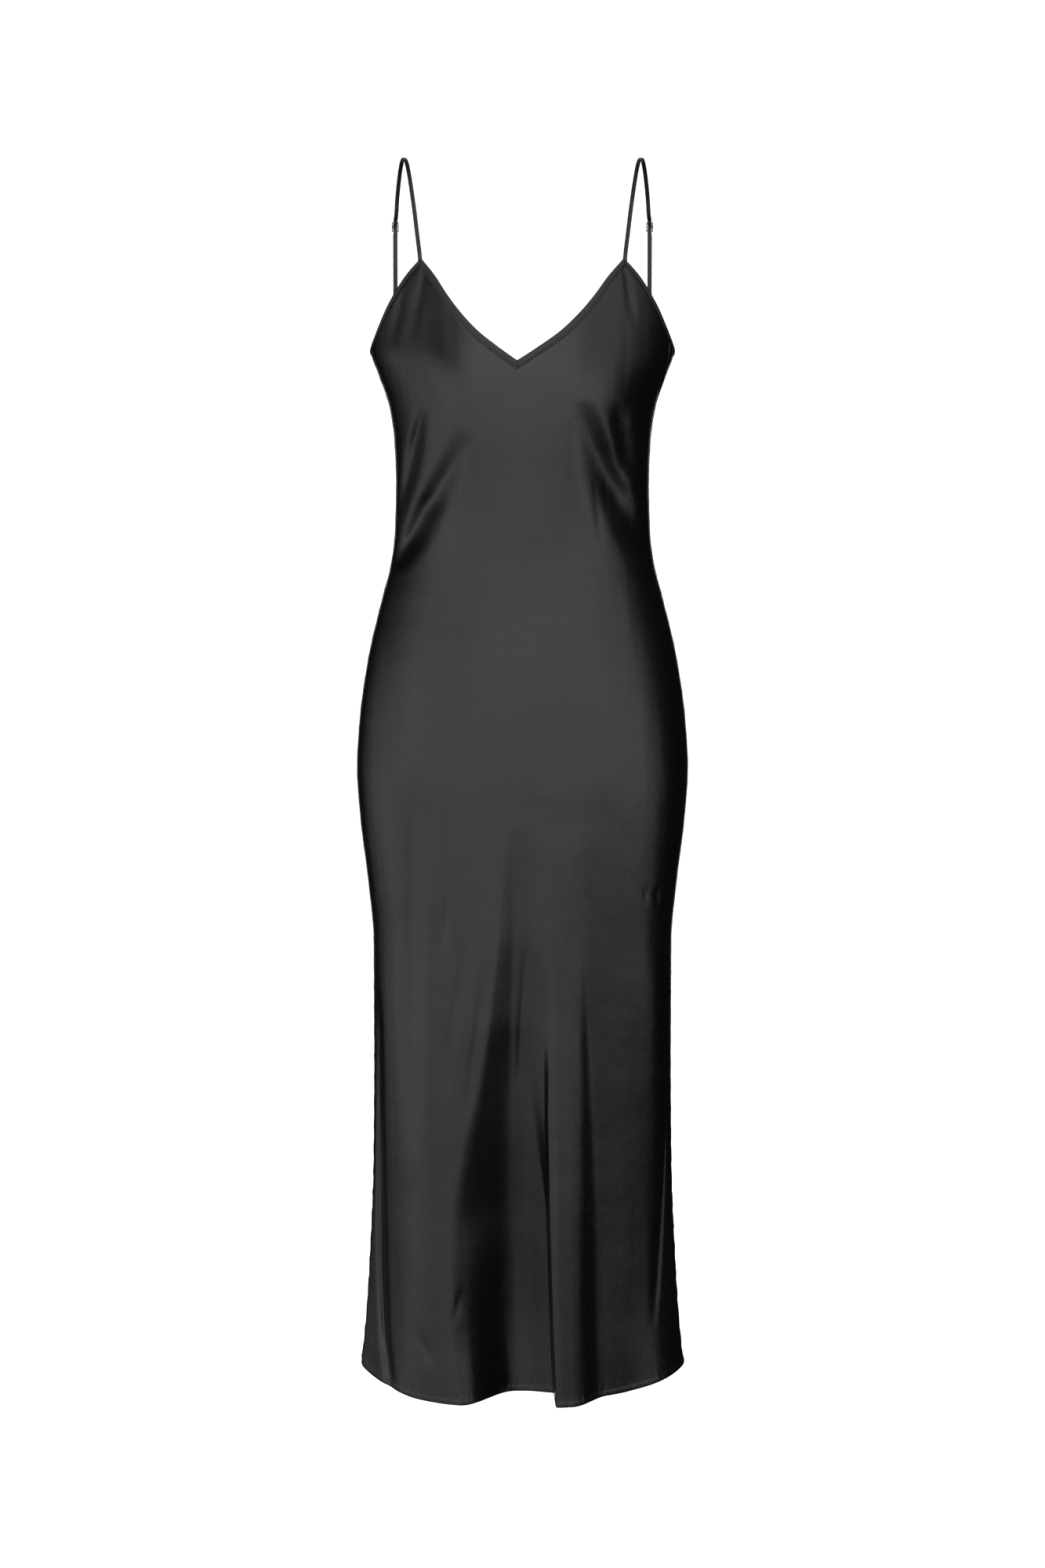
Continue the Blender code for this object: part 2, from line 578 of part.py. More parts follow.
for side, word in ((-1, "left"), (1, "right")):
    along = strap_frame(side)
    steps, centre, swing = strap_path()
    turn_radius = RING_WIRE + 0.0012 + STRAP_THICKNESS / 2
    turn = (centre[0] + 0.0010, RING_TOP_Z)
    outer_p = centre[0] - swing
    path = list(steps)
    path += [(outer_p + 0.0004, -0.0850), (outer_p + 0.0007, -0.1050),
             (outer_p + 0.0008, -0.1280)]
    path += arc(turn, turn_radius, 180, 360, 8)
    path += [(outer_p + 0.0028, -0.1330), (outer_p + 0.0024, -0.1100),
             (outer_p + 0.0022, -0.0860), (centre[0] + 0.0006, centre[1] - 0.0072)]
    ribbon(f"strap_{word}", path, STRAP_WIDTH, STRAP_THICKNESS, along, STRAP_SATIN)

    # slider: a frame with a middle bar, one closed solid made from five bars
    bars = []
    half_w, half_h = SLIDER_WIDTH / 2, SLIDER_HEIGHT / 2
    spans = [
        (-half_w, half_w, half_h - BAR, half_h), (-half_w, half_w, -half_h, -half_h + BAR),
        (-half_w, half_w, -BAR / 2, BAR / 2),
    ]
    xs = [-half_w, -half_w + BAR, half_w - BAR, half_w]
    zs = [-half_h, -half_h + BAR, -BAR / 2, BAR / 2, half_h - BAR, half_h]
    points, faces = [], []
    for depth in (-BAR / 2, BAR / 2):
        for z in zs:
            for w in xs:
                points.append(along(centre[0] + depth, centre[1] + z, w))
    layer = len(xs) * len(zs)

    def at(level, row, column):
        return level * layer + row * len(xs) + column

    solid = {(r, c): not (r in (1, 3) and c == 1) for r in range(5) for c in range(3)}
    for (r, c), filled in solid.items():
        if not filled:
            continue
        faces.append((at(0, r, c), at(0, r, c + 1), at(0, r + 1, c + 1), at(0, r + 1, c)))
        faces.append((at(1, r, c), at(1, r + 1, c), at(1, r + 1, c + 1), at(1, r, c + 1)))
        for (dr, dc), (p, q) in {
            (-1, 0): ((r, c), (r, c + 1)), (1, 0): ((r + 1, c + 1), (r + 1, c)),
            (0, -1): ((r + 1, c), (r, c)), (0, 1): ((r, c + 1), (r + 1, c + 1)),
        }.items():
            if not solid.get((r + dr, c + dc), False):
                faces.append((at(0, *p), at(1, *p), at(1, *q), at(0, *q)))
    turned_out(finish(f"slider_{word}", points, faces, HARDWARE, 0.3, 0.0, flat=True))

    # ring: a round wire, half way between the strap's plane and the cloth's
    ring_centre = along(turn[0], RING_TOP_Z - RING_RADIUS, 0.0)
    tip = outward(side * BACK_POINT_ANGLE, top_edge(BACK_POINT_ANGLE) - 0.004)
    strap_way = np.array([side * STRAP_SLANT, 1.0, 0.0]) / run_scale
    tip_flat = np.array([tip[0], tip[1], 0.0]) / math.hypot(tip[0], tip[1])
    face_way = strap_way + tip_flat
    face_way = face_way / np.linalg.norm(face_way)
    side_way = np.cross(face_way, (0, 0, 1))
    rings = []
    for a in np.linspace(0, 2 * math.pi, 17)[:-1]:
        radial = side_way * math.cos(a) + np.array([0, 0, 1.0]) * math.sin(a)
        rings.append([
            ring_centre + radial * (RING_RADIUS + RING_WIRE * math.cos(b))
            + face_way * RING_WIRE * math.sin(b)
            for b in np.linspace(0, 2 * math.pi, 9)[:-1]
        ])
    points = np.array(rings).reshape(-1, 3)
    faces = [(i * 8 + k, i * 8 + (k + 1) % 8, (i + 1) % 16 * 8 + (k + 1) % 8, (i + 1) % 16 * 8 + k)
             for i in range(16) for k in range(8)]
    turned_out(finish(f"ring_{word}", points, faces, HARDWARE, 0.3, 0.0))

    # tab: a short loop of binding round the low side of the ring, sewn inside the back
    edge_z = float(top_edge(BACK_POINT_ANGLE))
    cloth = tube(side * BACK_POINT_ANGLE, edge_z - 0.006)
    inside = CLOTH / 2 + BINDING_GAP + BINDING + GAP
    width_way = np.cross((0, 0, 1), tip_flat)
    low = ring_centre - np.array([0, 0, RING_RADIUS])

    def tab_point(q, z, w, low=low, tip_flat=tip_flat, width_way=width_way):
        return np.array([low[0], low[1], z]) + tip_flat * q + width_way * w

    gap_to_cloth = float((cloth - low) @ tip_flat)
    near = gap_to_cloth - inside - 0.0009 - STRAP_THICKNESS / 2
    far = near - STRAP_THICKNESS - GAP - 0.0002
    loop = RING_WIRE + 0.0012 + STRAP_THICKNESS / 2
    tab = [(near - 0.0002, edge_z - 0.0110), (near - 0.0002, edge_z - 0.0020)]
    tab += [(max(near + 0.0004, loop * 0.9), low[2] - 0.0030)]
    tab += arc((0.0, low[2]), loop, 0, 180, 8)
    tab += [(min(far - 0.0004, -loop * 0.9), low[2] - 0.0030)]
    tab += [(far, edge_z - 0.0020), (far, edge_z - 0.0110)]
    ribbon(f"ring_tab_{word}", tab, 0.0040, 0.0009, tab_point, BINDING_SATIN)
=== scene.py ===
import math
from collections import namedtuple

import bpy
import numpy as np
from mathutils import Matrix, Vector, noise


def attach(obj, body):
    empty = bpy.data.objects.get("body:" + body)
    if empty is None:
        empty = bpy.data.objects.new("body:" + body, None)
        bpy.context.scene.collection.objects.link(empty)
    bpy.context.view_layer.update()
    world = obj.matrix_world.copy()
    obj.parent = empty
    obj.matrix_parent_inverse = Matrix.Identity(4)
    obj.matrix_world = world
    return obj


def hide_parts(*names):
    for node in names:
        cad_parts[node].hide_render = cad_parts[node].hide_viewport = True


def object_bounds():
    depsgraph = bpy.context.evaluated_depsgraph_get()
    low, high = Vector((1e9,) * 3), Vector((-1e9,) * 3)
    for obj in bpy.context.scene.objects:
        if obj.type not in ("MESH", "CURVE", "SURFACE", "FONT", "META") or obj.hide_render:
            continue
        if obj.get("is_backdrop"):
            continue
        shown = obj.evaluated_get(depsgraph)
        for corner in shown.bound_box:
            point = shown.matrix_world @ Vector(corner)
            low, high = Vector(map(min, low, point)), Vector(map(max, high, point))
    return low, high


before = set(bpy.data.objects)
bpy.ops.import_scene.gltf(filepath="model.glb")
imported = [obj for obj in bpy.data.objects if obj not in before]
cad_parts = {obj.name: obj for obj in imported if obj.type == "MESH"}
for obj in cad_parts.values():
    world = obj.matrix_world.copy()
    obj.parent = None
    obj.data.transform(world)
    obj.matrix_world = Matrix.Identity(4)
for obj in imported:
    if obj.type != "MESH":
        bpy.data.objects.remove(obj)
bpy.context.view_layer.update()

scene = bpy.context.scene

# =============================================================== the garment's form
# The same tube of cloth as the CAD, in metres.
APEX_ANGLE, V_ANGLE, BACK_POINT_ANGLE = 40.6, -2.0, 121.0
HEM_AT_SIDES, HEM_DROP = -1.234, 0.018
NECK_WIDTH, ARM_WIDTH = 0.0066, 0.0040

Section = namedtuple("Section", "z half_width front back")
SECTIONS = [
    Section(-0.060, 0.1500, 0.1000, 0.0600),
    Section(-0.103, 0.1520, 0.1060, 0.0660),
    Section(-0.150, 0.1535, 0.1120, 0.0760),
    Section(-0.191, 0.1518, 0.1160, 0.0830),
    Section(-0.216, 0.1436, 0.1180, 0.0860),
    Section(-0.247, 0.1334, 0.1175, 0.0860),
    Section(-0.279, 0.1288, 0.1160, 0.0820),
    Section(-0.320, 0.1272, 0.1130, 0.0760),
    Section(-0.373, 0.1287, 0.1095, 0.0740),
    Section(-0.405, 0.1330, 0.1080, 0.0780),
    Section(-0.437, 0.1414, 0.1080, 0.0870),
    Section(-0.500, 0.1564, 0.1100, 0.1080),
    Section(-0.564, 0.1656, 0.1110, 0.1210),
    Section(-0.612, 0.1684, 0.1110, 0.1240),
    Section(-0.661, 0.1654, 0.1100, 0.1220),
    Section(-0.726, 0.1578, 0.1092, 0.1160),
    Section(-0.790, 0.1525, 0.1086, 0.1100),
    Section(-0.890, 0.1527, 0.1080, 0.1060),
    Section(-1.021, 0.1543, 0.1076, 0.1050),
    Section(-1.121, 0.1589, 0.1072, 0.1070),
    Section(-1.188, 0.1634, 0.1070, 0.1090),
    Section(-1.260, 0.1710, 0.1070, 0.1110),
]
Neck = namedtuple("Neck", "t z")
NECKLINE = [
    Neck(0.00, -0.2020), Neck(0.05, -0.1986), Neck(0.21, -0.1868),
    Neck(0.37, -0.1740), Neck(0.54, -0.1565), Neck(0.69, -0.1383),
    Neck(0.83, -0.1200), Neck(1.00, -0.1031),
]
Edge = namedtuple("Edge", "angle z")
ARMHOLE = [
    Edge(40.6, -0.1031), Edge(48.2, -0.1193), Edge(57.5, -0.1432),
    Edge(67.2, -0.1671), Edge(73.9, -0.1792), Edge(84.0, -0.1893),
    Edge(92.0, -0.1925), Edge(100.0, -0.1905), Edge(111.0, -0.1810),
    Edge(121.0, -0.1690),
]
BACK_TOP = [
    Edge(121.0, -0.1690), Edge(128.0, -0.1850), Edge(140.0, -0.2160),
    Edge(156.0, -0.2480), Edge(180.0, -0.2620),
]
Seam = namedtuple("Seam", "z left right")
SIDE_SEAM = [
    Seam(-0.160, 81.0, 71.0), Seam(-0.190, 82.5, 73.5), Seam(-0.225, 86.0, 80.0),
    Seam(-0.270, 90.0, 89.0), Seam(-0.330, 90.0, 90.0), Seam(-1.300, 90.0, 90.0),
]
# Deep folds: a wall from left over left_run, a floor, a wall from right over right_run.
# The left wall steepens towards the floor the more, the higher its lean.
Fold = namedtuple("Fold", "z left left_run lean right right_run depth")
FRONT_FOLDS = {
    # the centre valley has a steep left wall, and a right wall that is gentle above
    # and sharp below
    "valley_gentle": [
        Fold(-0.660, -0.020, 0.012, 1.0, -0.006, 0.036, 0.000),
        Fold(-0.700, -0.021, 0.012, 1.0, -0.006, 0.036, 0.002),
        Fold(-0.760, -0.024, 0.015, 1.0, -0.006, 0.038, 0.006),
        Fold(-0.840, -0.033, 0.023, 1.0, -0.004, 0.040, 0.013),
        Fold(-0.919, -0.046, 0.036, 1.0, -0.004, 0.040, 0.018),
        Fold(-1.000, -0.064, 0.052, 1.0, -0.004, 0.042, 0.018),
        Fold(-1.080, -0.076, 0.062, 1.0, -0.004, 0.042, 0.017),
        Fold(-1.164, -0.076, 0.060, 1.0, -0.002, 0.042, 0.015),
        Fold(-1.260, -0.066, 0.052, 1.0, 0.002, 0.042, 0.011),
    ],
    "valley_sharp": [
        Fold(-0.780, -0.030, 0.022, 1.0, 0.0160, 0.020, 0.000),
        Fold(-0.850, -0.038, 0.028, 1.0, 0.0190, 0.012, 0.0014),
        Fold(-0.910, -0.048, 0.038, 1.0, 0.0215, 0.006, 0.0040),
        Fold(-0.960, -0.058, 0.050, 1.0, 0.0230, 0.003, 0.0075),
        Fold(-1.010, -0.066, 0.060, 1.0, 0.0240, 0.003, 0.0135),
        Fold(-1.066, -0.072, 0.066, 1.0, 0.0250, 0.003, 0.0220),
        Fold(-1.164, -0.072, 0.066, 1.0, 0.0280, 0.003, 0.036),
        Fold(-1.260, -0.062, 0.056, 1.0, 0.0320, 0.003, 0.044),
    ],
    "valley_shoulder": [
        Fold(-0.860, -0.086, 0.046, 1.2, -0.004, 0.040, 0.000),
        Fold(-0.968, -0.092, 0.050, 1.2, 0.012, 0.016, 0.004),
        Fold(-1.066, -0.096, 0.054, 1.2, 0.0250, 0.003, 0.007),
        Fold(-1.164, -0.096, 0.054, 1.2, 0.0280, 0.003, 0.007),
        Fold(-1.260, -0.086, 0.050, 1.2, 0.0320, 0.003, 0.004),
    ],
    "right_valley": [
        Fold(-0.660, 0.054, 0.012, 1.0, 0.100, 0.050, 0.0000),
        Fold(-0.740, 0.054, 0.012, 1.0, 0.100, 0.050, 0.0015),
        Fold(-0.800, 0.054, 0.013, 1.0, 0.100, 0.050, 0.0040),
        Fold(-0.850, 0.053, 0.015, 1.0, 0.102, 0.050, 0.0070),
        Fold(-0.910, 0.052, 0.020, 1.0, 0.104, 0.050, 0.0105),
        Fold(-0.968, 0.051, 0.025, 1.0, 0.106, 0.050, 0.0140),
        Fold(-1.066, 0.050, 0.030, 1.0, 0.108, 0.052, 0.0190),
        Fold(-1.160, 0.050, 0.032, 1.0, 0.108, 0.052, 0.0225),
        Fold(-1.260, 0.052, 0.034, 1.0, 0.108, 0.056, 0.0240),
    ],
}
BACK_FOLDS = {
    "back_valley_right": [
        Fold(-0.700, 0.018, 0.020, 1.0, 0.044, 0.020, 0.000),
        Fold(-0.830, 0.014, 0.020, 1.0, 0.046, 0.022, 0.008),
        Fold(-1.000, 0.008, 0.020, 1.0, 0.048, 0.024, 0.019),
        Fold(-1.260, 0.002, 0.018, 1.0, 0.052, 0.034, 0.030),
    ],
    "back_valley_left": [
        Fold(-0.800, -0.086, 0.022, 1.0, -0.052, 0.014, 0.000),
        Fold(-0.920, -0.090, 0.026, 1.0, -0.052, 0.012, 0.009),
        Fold(-1.080, -0.094, 0.030, 1.0, -0.050, 0.010, 0.017),
        Fold(-1.260, -0.098, 0.034, 1.0, -0.050, 0.010, 0.022),
    ],
}
# Creases: a soft trough along x, its left and right widths, and its depth.
# A negative depth is a ridge.
Crease = namedtuple("Crease", "z x left right depth")
FRONT_CREASES = {
    # from the strap points down over the bust
    "top_left_inner": [
        Crease(-0.104, -0.0950, 0.004, 0.004, 0.0000), Crease(-0.122, -0.0970, 0.004, 0.005, 0.0016),
        Crease(-0.145, -0.1010, 0.005, 0.005, 0.0018), Crease(-0.185, -0.1080, 0.006, 0.006, 0.0000),
    ],
    "top_left_outer": [
        Crease(-0.118, -0.1130, 0.004, 0.004, 0.0000), Crease(-0.140, -0.1180, 0.005, 0.005, 0.0014),
        Crease(-0.160, -0.1220, 0.005, 0.006, 0.0016), Crease(-0.190, -0.1280, 0.006, 0.006, 0.0000),
    ],
    "top_right_inner": [
        Crease(-0.104, 0.0980, 0.003, 0.003, 0.0000), Crease(-0.120, 0.1007, 0.003, 0.004, 0.0014),
        Crease(-0.142, 0.1040, 0.004, 0.004, 0.0013), Crease(-0.170, 0.1090, 0.005, 0.005, 0.0000),
    ],
    # under the bust
    "under_left_sharp": [
        Crease(-0.243, -0.0970, 0.004, 0.004, 0.0000), Crease(-0.262, -0.1010, 0.005, 0.006, 0.0050),
        Crease(-0.285, -0.1065, 0.006, 0.008, 0.0085), Crease(-0.312, -0.1120, 0.006, 0.008, 0.0080),
        Crease(-0.340, -0.1180, 0.006, 0.007, 0.0040), Crease(-0.362, -0.1210, 0.006, 0.006, 0.0000),
    ],
    "under_left_broad": [
        Crease(-0.272, -0.0560, 0.010, 0.009, 0.0000), Crease(-0.296, -0.0660, 0.011, 0.010, 0.0040),
        Crease(-0.322, -0.0810, 0.012, 0.012, 0.0080), Crease(-0.346, -0.0950, 0.011, 0.014, 0.0130),
        Crease(-0.370, -0.1070, 0.010, 0.014, 0.0130), Crease(-0.394, -0.1190, 0.009, 0.013, 0.0070),
        Crease(-0.412, -0.1330, 0.009, 0.013, 0.0000),
    ],
    "under_right_inner": [
        Crease(-0.240, 0.0600, 0.011, 0.012, 0.0000), Crease(-0.264, 0.0650, 0.013, 0.014, 0.0040),
        Crease(-0.296, 0.0750, 0.015, 0.017, 0.0080), Crease(-0.330, 0.0900, 0.017, 0.017, 0.0100),
        Crease(-0.362, 0.1050, 0.016, 0.015, 0.0070), Crease(-0.405, 0.1240, 0.014, 0.010, 0.0000),
    ],
    "under_right_outer": [
        Crease(-0.238, 0.0900, 0.009, 0.010, 0.0000), Crease(-0.262, 0.0955, 0.010, 0.011, 0.0045),
        Crease(-0.292, 0.1015, 0.010, 0.011, 0.0050), Crease(-0.318, 0.1085, 0.009, 0.009, 0.0000),
    ],
    # over the belly and the hips
    "belly_streak": [
        Crease(-0.330, 0.0230, 0.003, 0.004, 0.0000), Crease(-0.370, 0.0225, 0.003, 0.004, 0.0005),
        Crease(-0.420, 0.0240, 0.003, 0.004, 0.0006), Crease(-0.460, 0.0230, 0.003, 0.004, 0.0000),
    ],
    "side_streak": [
        Crease(-0.310, 0.0690, 0.003, 0.005, 0.0000), Crease(-0.350, 0.0730, 0.003, 0.006, 0.0009),
        Crease(-0.390, 0.0780, 0.003, 0.006, 0.0000),
    ],
    "belly_hollow": [
        Crease(-0.460, 0.0360, 0.030, 0.030, 0.0000), Crease(-0.560, 0.0500, 0.032, 0.028, 0.0018),
        Crease(-0.680, 0.0480, 0.030, 0.030, 0.0000),
    ],
    # the skirt's left half
    "left_soft": [
        Crease(-0.600, -0.1060, 0.007, 0.007, 0.0000), Crease(-0.700, -0.1100, 0.007, 0.008, 0.0020),
        Crease(-0.840, -0.1130, 0.008, 0.009, 0.0020), Crease(-1.000, -0.1140, 0.009, 0.009, 0.0000),
    ],
    "left_soft_inner": [
        Crease(-0.640, -0.0840, 0.007, 0.006, 0.0000), Crease(-0.740, -0.0900, 0.007, 0.007, -0.0013),
        Crease(-0.900, -0.0960, 0.008, 0.008, -0.0014), Crease(-1.060, -0.1000, 0.009, 0.009, 0.0000),
    ],
    "left_thin": [
        Crease(-0.650, -0.0820, 0.003, 0.003, 0.0000), Crease(-0.700, -0.0790, 0.003, 0.004, 0.0010),
        Crease(-0.755, -0.0765, 0.003, 0.004, 0.0020), Crease(-0.785, -0.0790, 0.003, 0.004, 0.0000),
    ],
    "left_fan_outer": [
        Crease(-0.765, -0.0560, 0.004, 0.005, 0.0000), Crease(-0.820, -0.0640, 0.005, 0.006, 0.0016),
        Crease(-0.870, -0.0710, 0.005, 0.007, 0.0020), Crease(-0.940, -0.0790, 0.006, 0.008, 0.0000),
    ],
    "left_fan_inner": [
        Crease(-0.790, -0.0370, 0.004, 0.005, 0.0000), Crease(-0.850, -0.0430, 0.005, 0.006, 0.0018),
        Crease(-0.910, -0.0510, 0.005, 0.007, 0.0016), Crease(-0.960, -0.0570, 0.006, 0.008, 0.0000),
    ],
    "valley_line": [
        Crease(-0.760, 0.0040, 0.003, 0.003, 0.0000), Crease(-0.810, 0.0015, 0.003, 0.004, 0.0012),
        Crease(-0.880, -0.0025, 0.003, 0.004, 0.0012), Crease(-0.930, -0.0030, 0.003, 0.004, 0.0000),
    ],
    # the skirt's sides
    "side_left": [
        Crease(-0.815, -0.1490, 0.004, 0.003, 0.0000), Crease(-0.880, -0.1455, 0.004, 0.003, 0.0050),
        Crease(-0.980, -0.1455, 0.004, 0.0035, 0.0070), Crease(-1.100, -0.1450, 0.004, 0.004, 0.0090),
        Crease(-1.190, -0.1420, 0.004, 0.004, 0.0100), Crease(-1.228, -0.1380, 0.004, 0.005, 0.0060),
        Crease(-1.250, -0.1350, 0.005, 0.006, 0.0020),
    ],
    "side_right": [
        Crease(-0.800, 0.1455, 0.004, 0.003, 0.0000), Crease(-0.880, 0.1480, 0.004, 0.002, 0.0016),
        Crease(-1.020, 0.1450, 0.005, 0.002, 0.0022), Crease(-1.130, 0.1390, 0.006, 0.003, 0.0022),
        Crease(-1.200, 0.1340, 0.006, 0.003, 0.0000),
    ],
    # small dents
    "dent_a": [
        Crease(-0.722, 0.1235, 0.002, 0.003, 0.0000), Crease(-0.731, 0.1225, 0.002, 0.003, 0.0012),
        Crease(-0.741, 0.1225, 0.002, 0.003, 0.0000),
    ],
    "dent_b": [
        Crease(-0.724, 0.1360, 0.002, 0.003, 0.0000), Crease(-0.736, 0.1345, 0.002, 0.003, 0.0014),
        Crease(-0.747, 0.1355, 0.002, 0.003, 0.0000),
    ],
    "dent_c": [
        Crease(-1.130, -0.0630, 0.003, 0.003, 0.0000), Crease(-1.148, -0.0655, 0.003, 0.004, 0.0016),
        Crease(-1.168, -0.0680, 0.003, 0.003, 0.0000),
    ],
    "dent_d": [
        Crease(-1.176, -0.1080, 0.003, 0.004, 0.0000), Crease(-1.196, -0.0980, 0.004, 0.005, 0.0018),
        Crease(-1.216, -0.0930, 0.004, 0.005, 0.0000),
    ],
}
BACK_CREASES = {
    "waist_left": [
        Crease(-0.290, -0.0640, 0.006, 0.006, 0.0000), Crease(-0.340, -0.0840, 0.009, 0.010, 0.0045),
        Crease(-0.385, -0.1020, 0.009, 0.011, 0.0060), Crease(-0.440, -0.1200, 0.009, 0.010, 0.0000),
    ],
    "waist_right": [
        Crease(-0.280, 0.0500, 0.006, 0.006, 0.0000), Crease(-0.335, 0.0680, 0.009, 0.008, 0.0040),
        Crease(-0.385, 0.0910, 0.011, 0.009, 0.0060), Crease(-0.435, 0.1080, 0.010, 0.008, 0.0000),
    ],
    "waist_right_outer": [
        Crease(-0.270, 0.0900, 0.004, 0.005, 0.0000), Crease(-0.310, 0.0990, 0.006, 0.006, 0.0035),
        Crease(-0.360, 0.1130, 0.006, 0.006, 0.0000),
    ],
    "small_of_back": [
        Crease(-0.330, -0.0400, 0.020, 0.020, 0.0000), Crease(-0.375, 0.0000, 0.050, 0.050, 0.0020),
        Crease(-0.430, 0.0200, 0.030, 0.030, 0.0000),
    ],
    "thin_a": [
        Crease(-0.700, 0.0880, 0.003, 0.004, 0.0000), Crease(-0.790, 0.0850, 0.004, 0.005, 0.0018),
        Crease(-0.900, 0.0890, 0.004, 0.005, 0.0000),
    ],
    "thin_b": [
        Crease(-0.740, -0.0250, 0.004, 0.004, 0.0000), Crease(-0.850, -0.0280, 0.005, 0.006, 0.0020),
        Crease(-0.960, -0.0330, 0.006, 0.006, 0.0000),
    ],
    "side_a": [
        Crease(-0.850, -0.1470, 0.004, 0.004, 0.0000), Crease(-0.980, -0.1440, 0.004, 0.005, 0.0060),
        Crease(-1.150, -0.1420, 0.004, 0.005, 0.0080), Crease(-1.245, -0.1380, 0.004, 0.006, 0.0030),
    ],
    "side_b": [
        Crease(-0.840, 0.1430, 0.004, 0.004, 0.0000), Crease(-1.000, 0.1440, 0.005, 0.004, 0.0060),
        Crease(-1.160, 0.1400, 0.006, 0.004, 0.0060), Crease(-1.245, 0.1350, 0.006, 0.004, 0.0020),
    ],
}
BUST_X, BUST_Z, BUST_FULLNESS = 0.071, -0.236, 0.010
BUST_ACROSS, BUST_UP, BUST_DOWN = 0.043, 0.062, 0.080


def smooth(rows, column, at, key="z"):
    """A column of a table as a smooth function of another, at the given values."""
    x = np.array([getattr(r, key) for r in rows], float)
    y = np.array([getattr(r, column) for r in rows], float)
    if x[0] > x[-1]:
        x, y = x[::-1], y[::-1]
    h, slope = np.diff(x), np.diff(y) / np.diff(x)
    m = np.zeros(len(x))
    flat = slope[:-1] * slope[1:] <= 0
    w1, w2 = 2 * h[1:] + h[:-1], h[1:] + 2 * h[:-1]
    with np.errstate(divide="ignore", invalid="ignore"):
        mean = (w1 + w2) / (w1 / slope[:-1] + w2 / slope[1:])
    m[1:-1] = np.where(flat, 0.0, mean)
    m[0], m[-1] = slope[0], slope[-1]
    at = np.clip(np.asarray(at, float), x[0], x[-1])
    i = np.clip(np.searchsorted(x, at) - 1, 0, len(x) - 2)
    t = (at - x[i]) / h[i]
    return (
        y[i] * (1 + 2 * t) * (1 - t) ** 2 + m[i] * h[i] * t * (1 - t) ** 2
        + y[i + 1] * t * t * (3 - 2 * t) + m[i + 1] * h[i] * t * t * (t - 1)
    )


def ease(t):
    t = np.clip(t, 0, 1)
    return t * t * (3 - 2 * t)


def folded(folds, x, z):
    total = np.zeros(x.shape)
    for rows in folds.values():
        inside = (z <= rows[0].z) & (z >= rows[-1].z)
        xi, zi = x[inside], z[inside]
        get = {c: smooth(rows, c, zi) for c in Fold._fields[1:]}
        wall = ease(np.clip((xi - get["left"]) / get["left_run"], 0, 1) ** get["lean"])
        wall = wall * (1 - ease((xi - get["right"]) / get["right_run"]))
        total[inside] += get["depth"] * wall
    return total


def creased(creases, x, z):
    total = np.zeros(x.shape)
    for rows in creases.values():
        reach = 3 * max(max(r.left, r.right) for r in rows)
        inside = (z <= rows[0].z) & (z >= rows[-1].z)
        inside &= (x > min(r.x for r in rows) - reach) & (x < max(r.x for r in rows) + reach)
        if not inside.any():
            continue
        xi, zi = x[inside], z[inside]
        get = {c: smooth(rows, c, zi) for c in Crease._fields[1:]}
        off = xi - get["x"]
        width = np.where(off < 0, get["left"], get["right"])
        total[inside] += get["depth"] * np.exp(-((off / width) ** 2))
    return total


def waves(x, z, seed):
    """A slow, uneven waviness between -1 and 1, the same on each run."""
    rng = np.random.default_rng(seed)
    total = 0.0
    for k in range(9):
        across, down = rng.uniform(20, 75), rng.uniform(4, 26)
        total = total + np.sin(
            across * x + down * z * (1 if k % 2 else -1) + rng.uniform(0, 6.28)
        ) / 4.5
    return total


def pinch(c, z):
    """The skirt's sides draw in towards their seams."""
    near = 1 - (1 - np.minimum(np.abs(c) / 0.80, 1) ** 2.27) ** 2
    return 1 - 0.75 * ease((-0.80 - z) / 0.38) * (1 - near)


def front_of(x, c, z, detail):
    y = -smooth(SECTIONS, "front", z) * np.abs(c) ** 0.90 * pinch(c, z)
    up = np.where(z > BUST_Z, BUST_UP, BUST_DOWN)
    for side in (-1, 1):
        y = y - BUST_FULLNESS * np.exp(
            -(((x - side * BUST_X) / BUST_ACROSS) ** 2) - ((z - BUST_Z) / up) ** 2
        ) * ease(c / 0.3)
    y = y + folded(FRONT_FOLDS, x, z)
    if detail:
        low = 0.25 + 0.75 * ease((-0.62 - z) / 0.4)
        y = y + creased(FRONT_CREASES, x, z)
        y = y + 0.0007 * low * ease(np.abs(c) / 0.16) * waves(x, z, 3)
    return y


def back_of(x, c, z, detail):
    y = smooth(SECTIONS, "back", z) * np.abs(c) ** 0.80 * pinch(c, z)
    y = y - folded(BACK_FOLDS, x, z)
    if detail:
        low = 0.25 + 0.75 * ease((-0.62 - z) / 0.4)
        y = y - creased(BACK_CREASES, x, z)
        y = y + 0.0008 * low * ease(np.abs(c) / 0.16) * waves(x, z, 8)
    return y


def tube(angle, z, detail=True):
    """Middle of the cloth, at degrees round from centre front and height z."""
    angle, z = np.broadcast_arrays(np.asarray(angle, float), np.asarray(z, float))
    turn = np.radians(angle)
    x = smooth(SECTIONS, "half_width", z) * np.sin(turn)
    c = np.cos(turn)
    y = np.zeros(x.shape)
    ahead = c >= 0
    for part, of_front in ((ahead, True), (~ahead, False)):
        if part.any():
            y[part] = (front_of if of_front else back_of)(x[part], c[part], z[part], detail)
    return np.stack([x, y, z], axis=-1)


def outward(angle, z, detail=True):
    round_it = tube(angle + 0.3, z, detail) - tube(angle - 0.3, z, detail)
    up = tube(angle, z + 0.0008, detail) - tube(angle, z - 0.0008, detail)
    n = np.cross(round_it, up)
    return n / np.linalg.norm(n, axis=-1, keepdims=True)


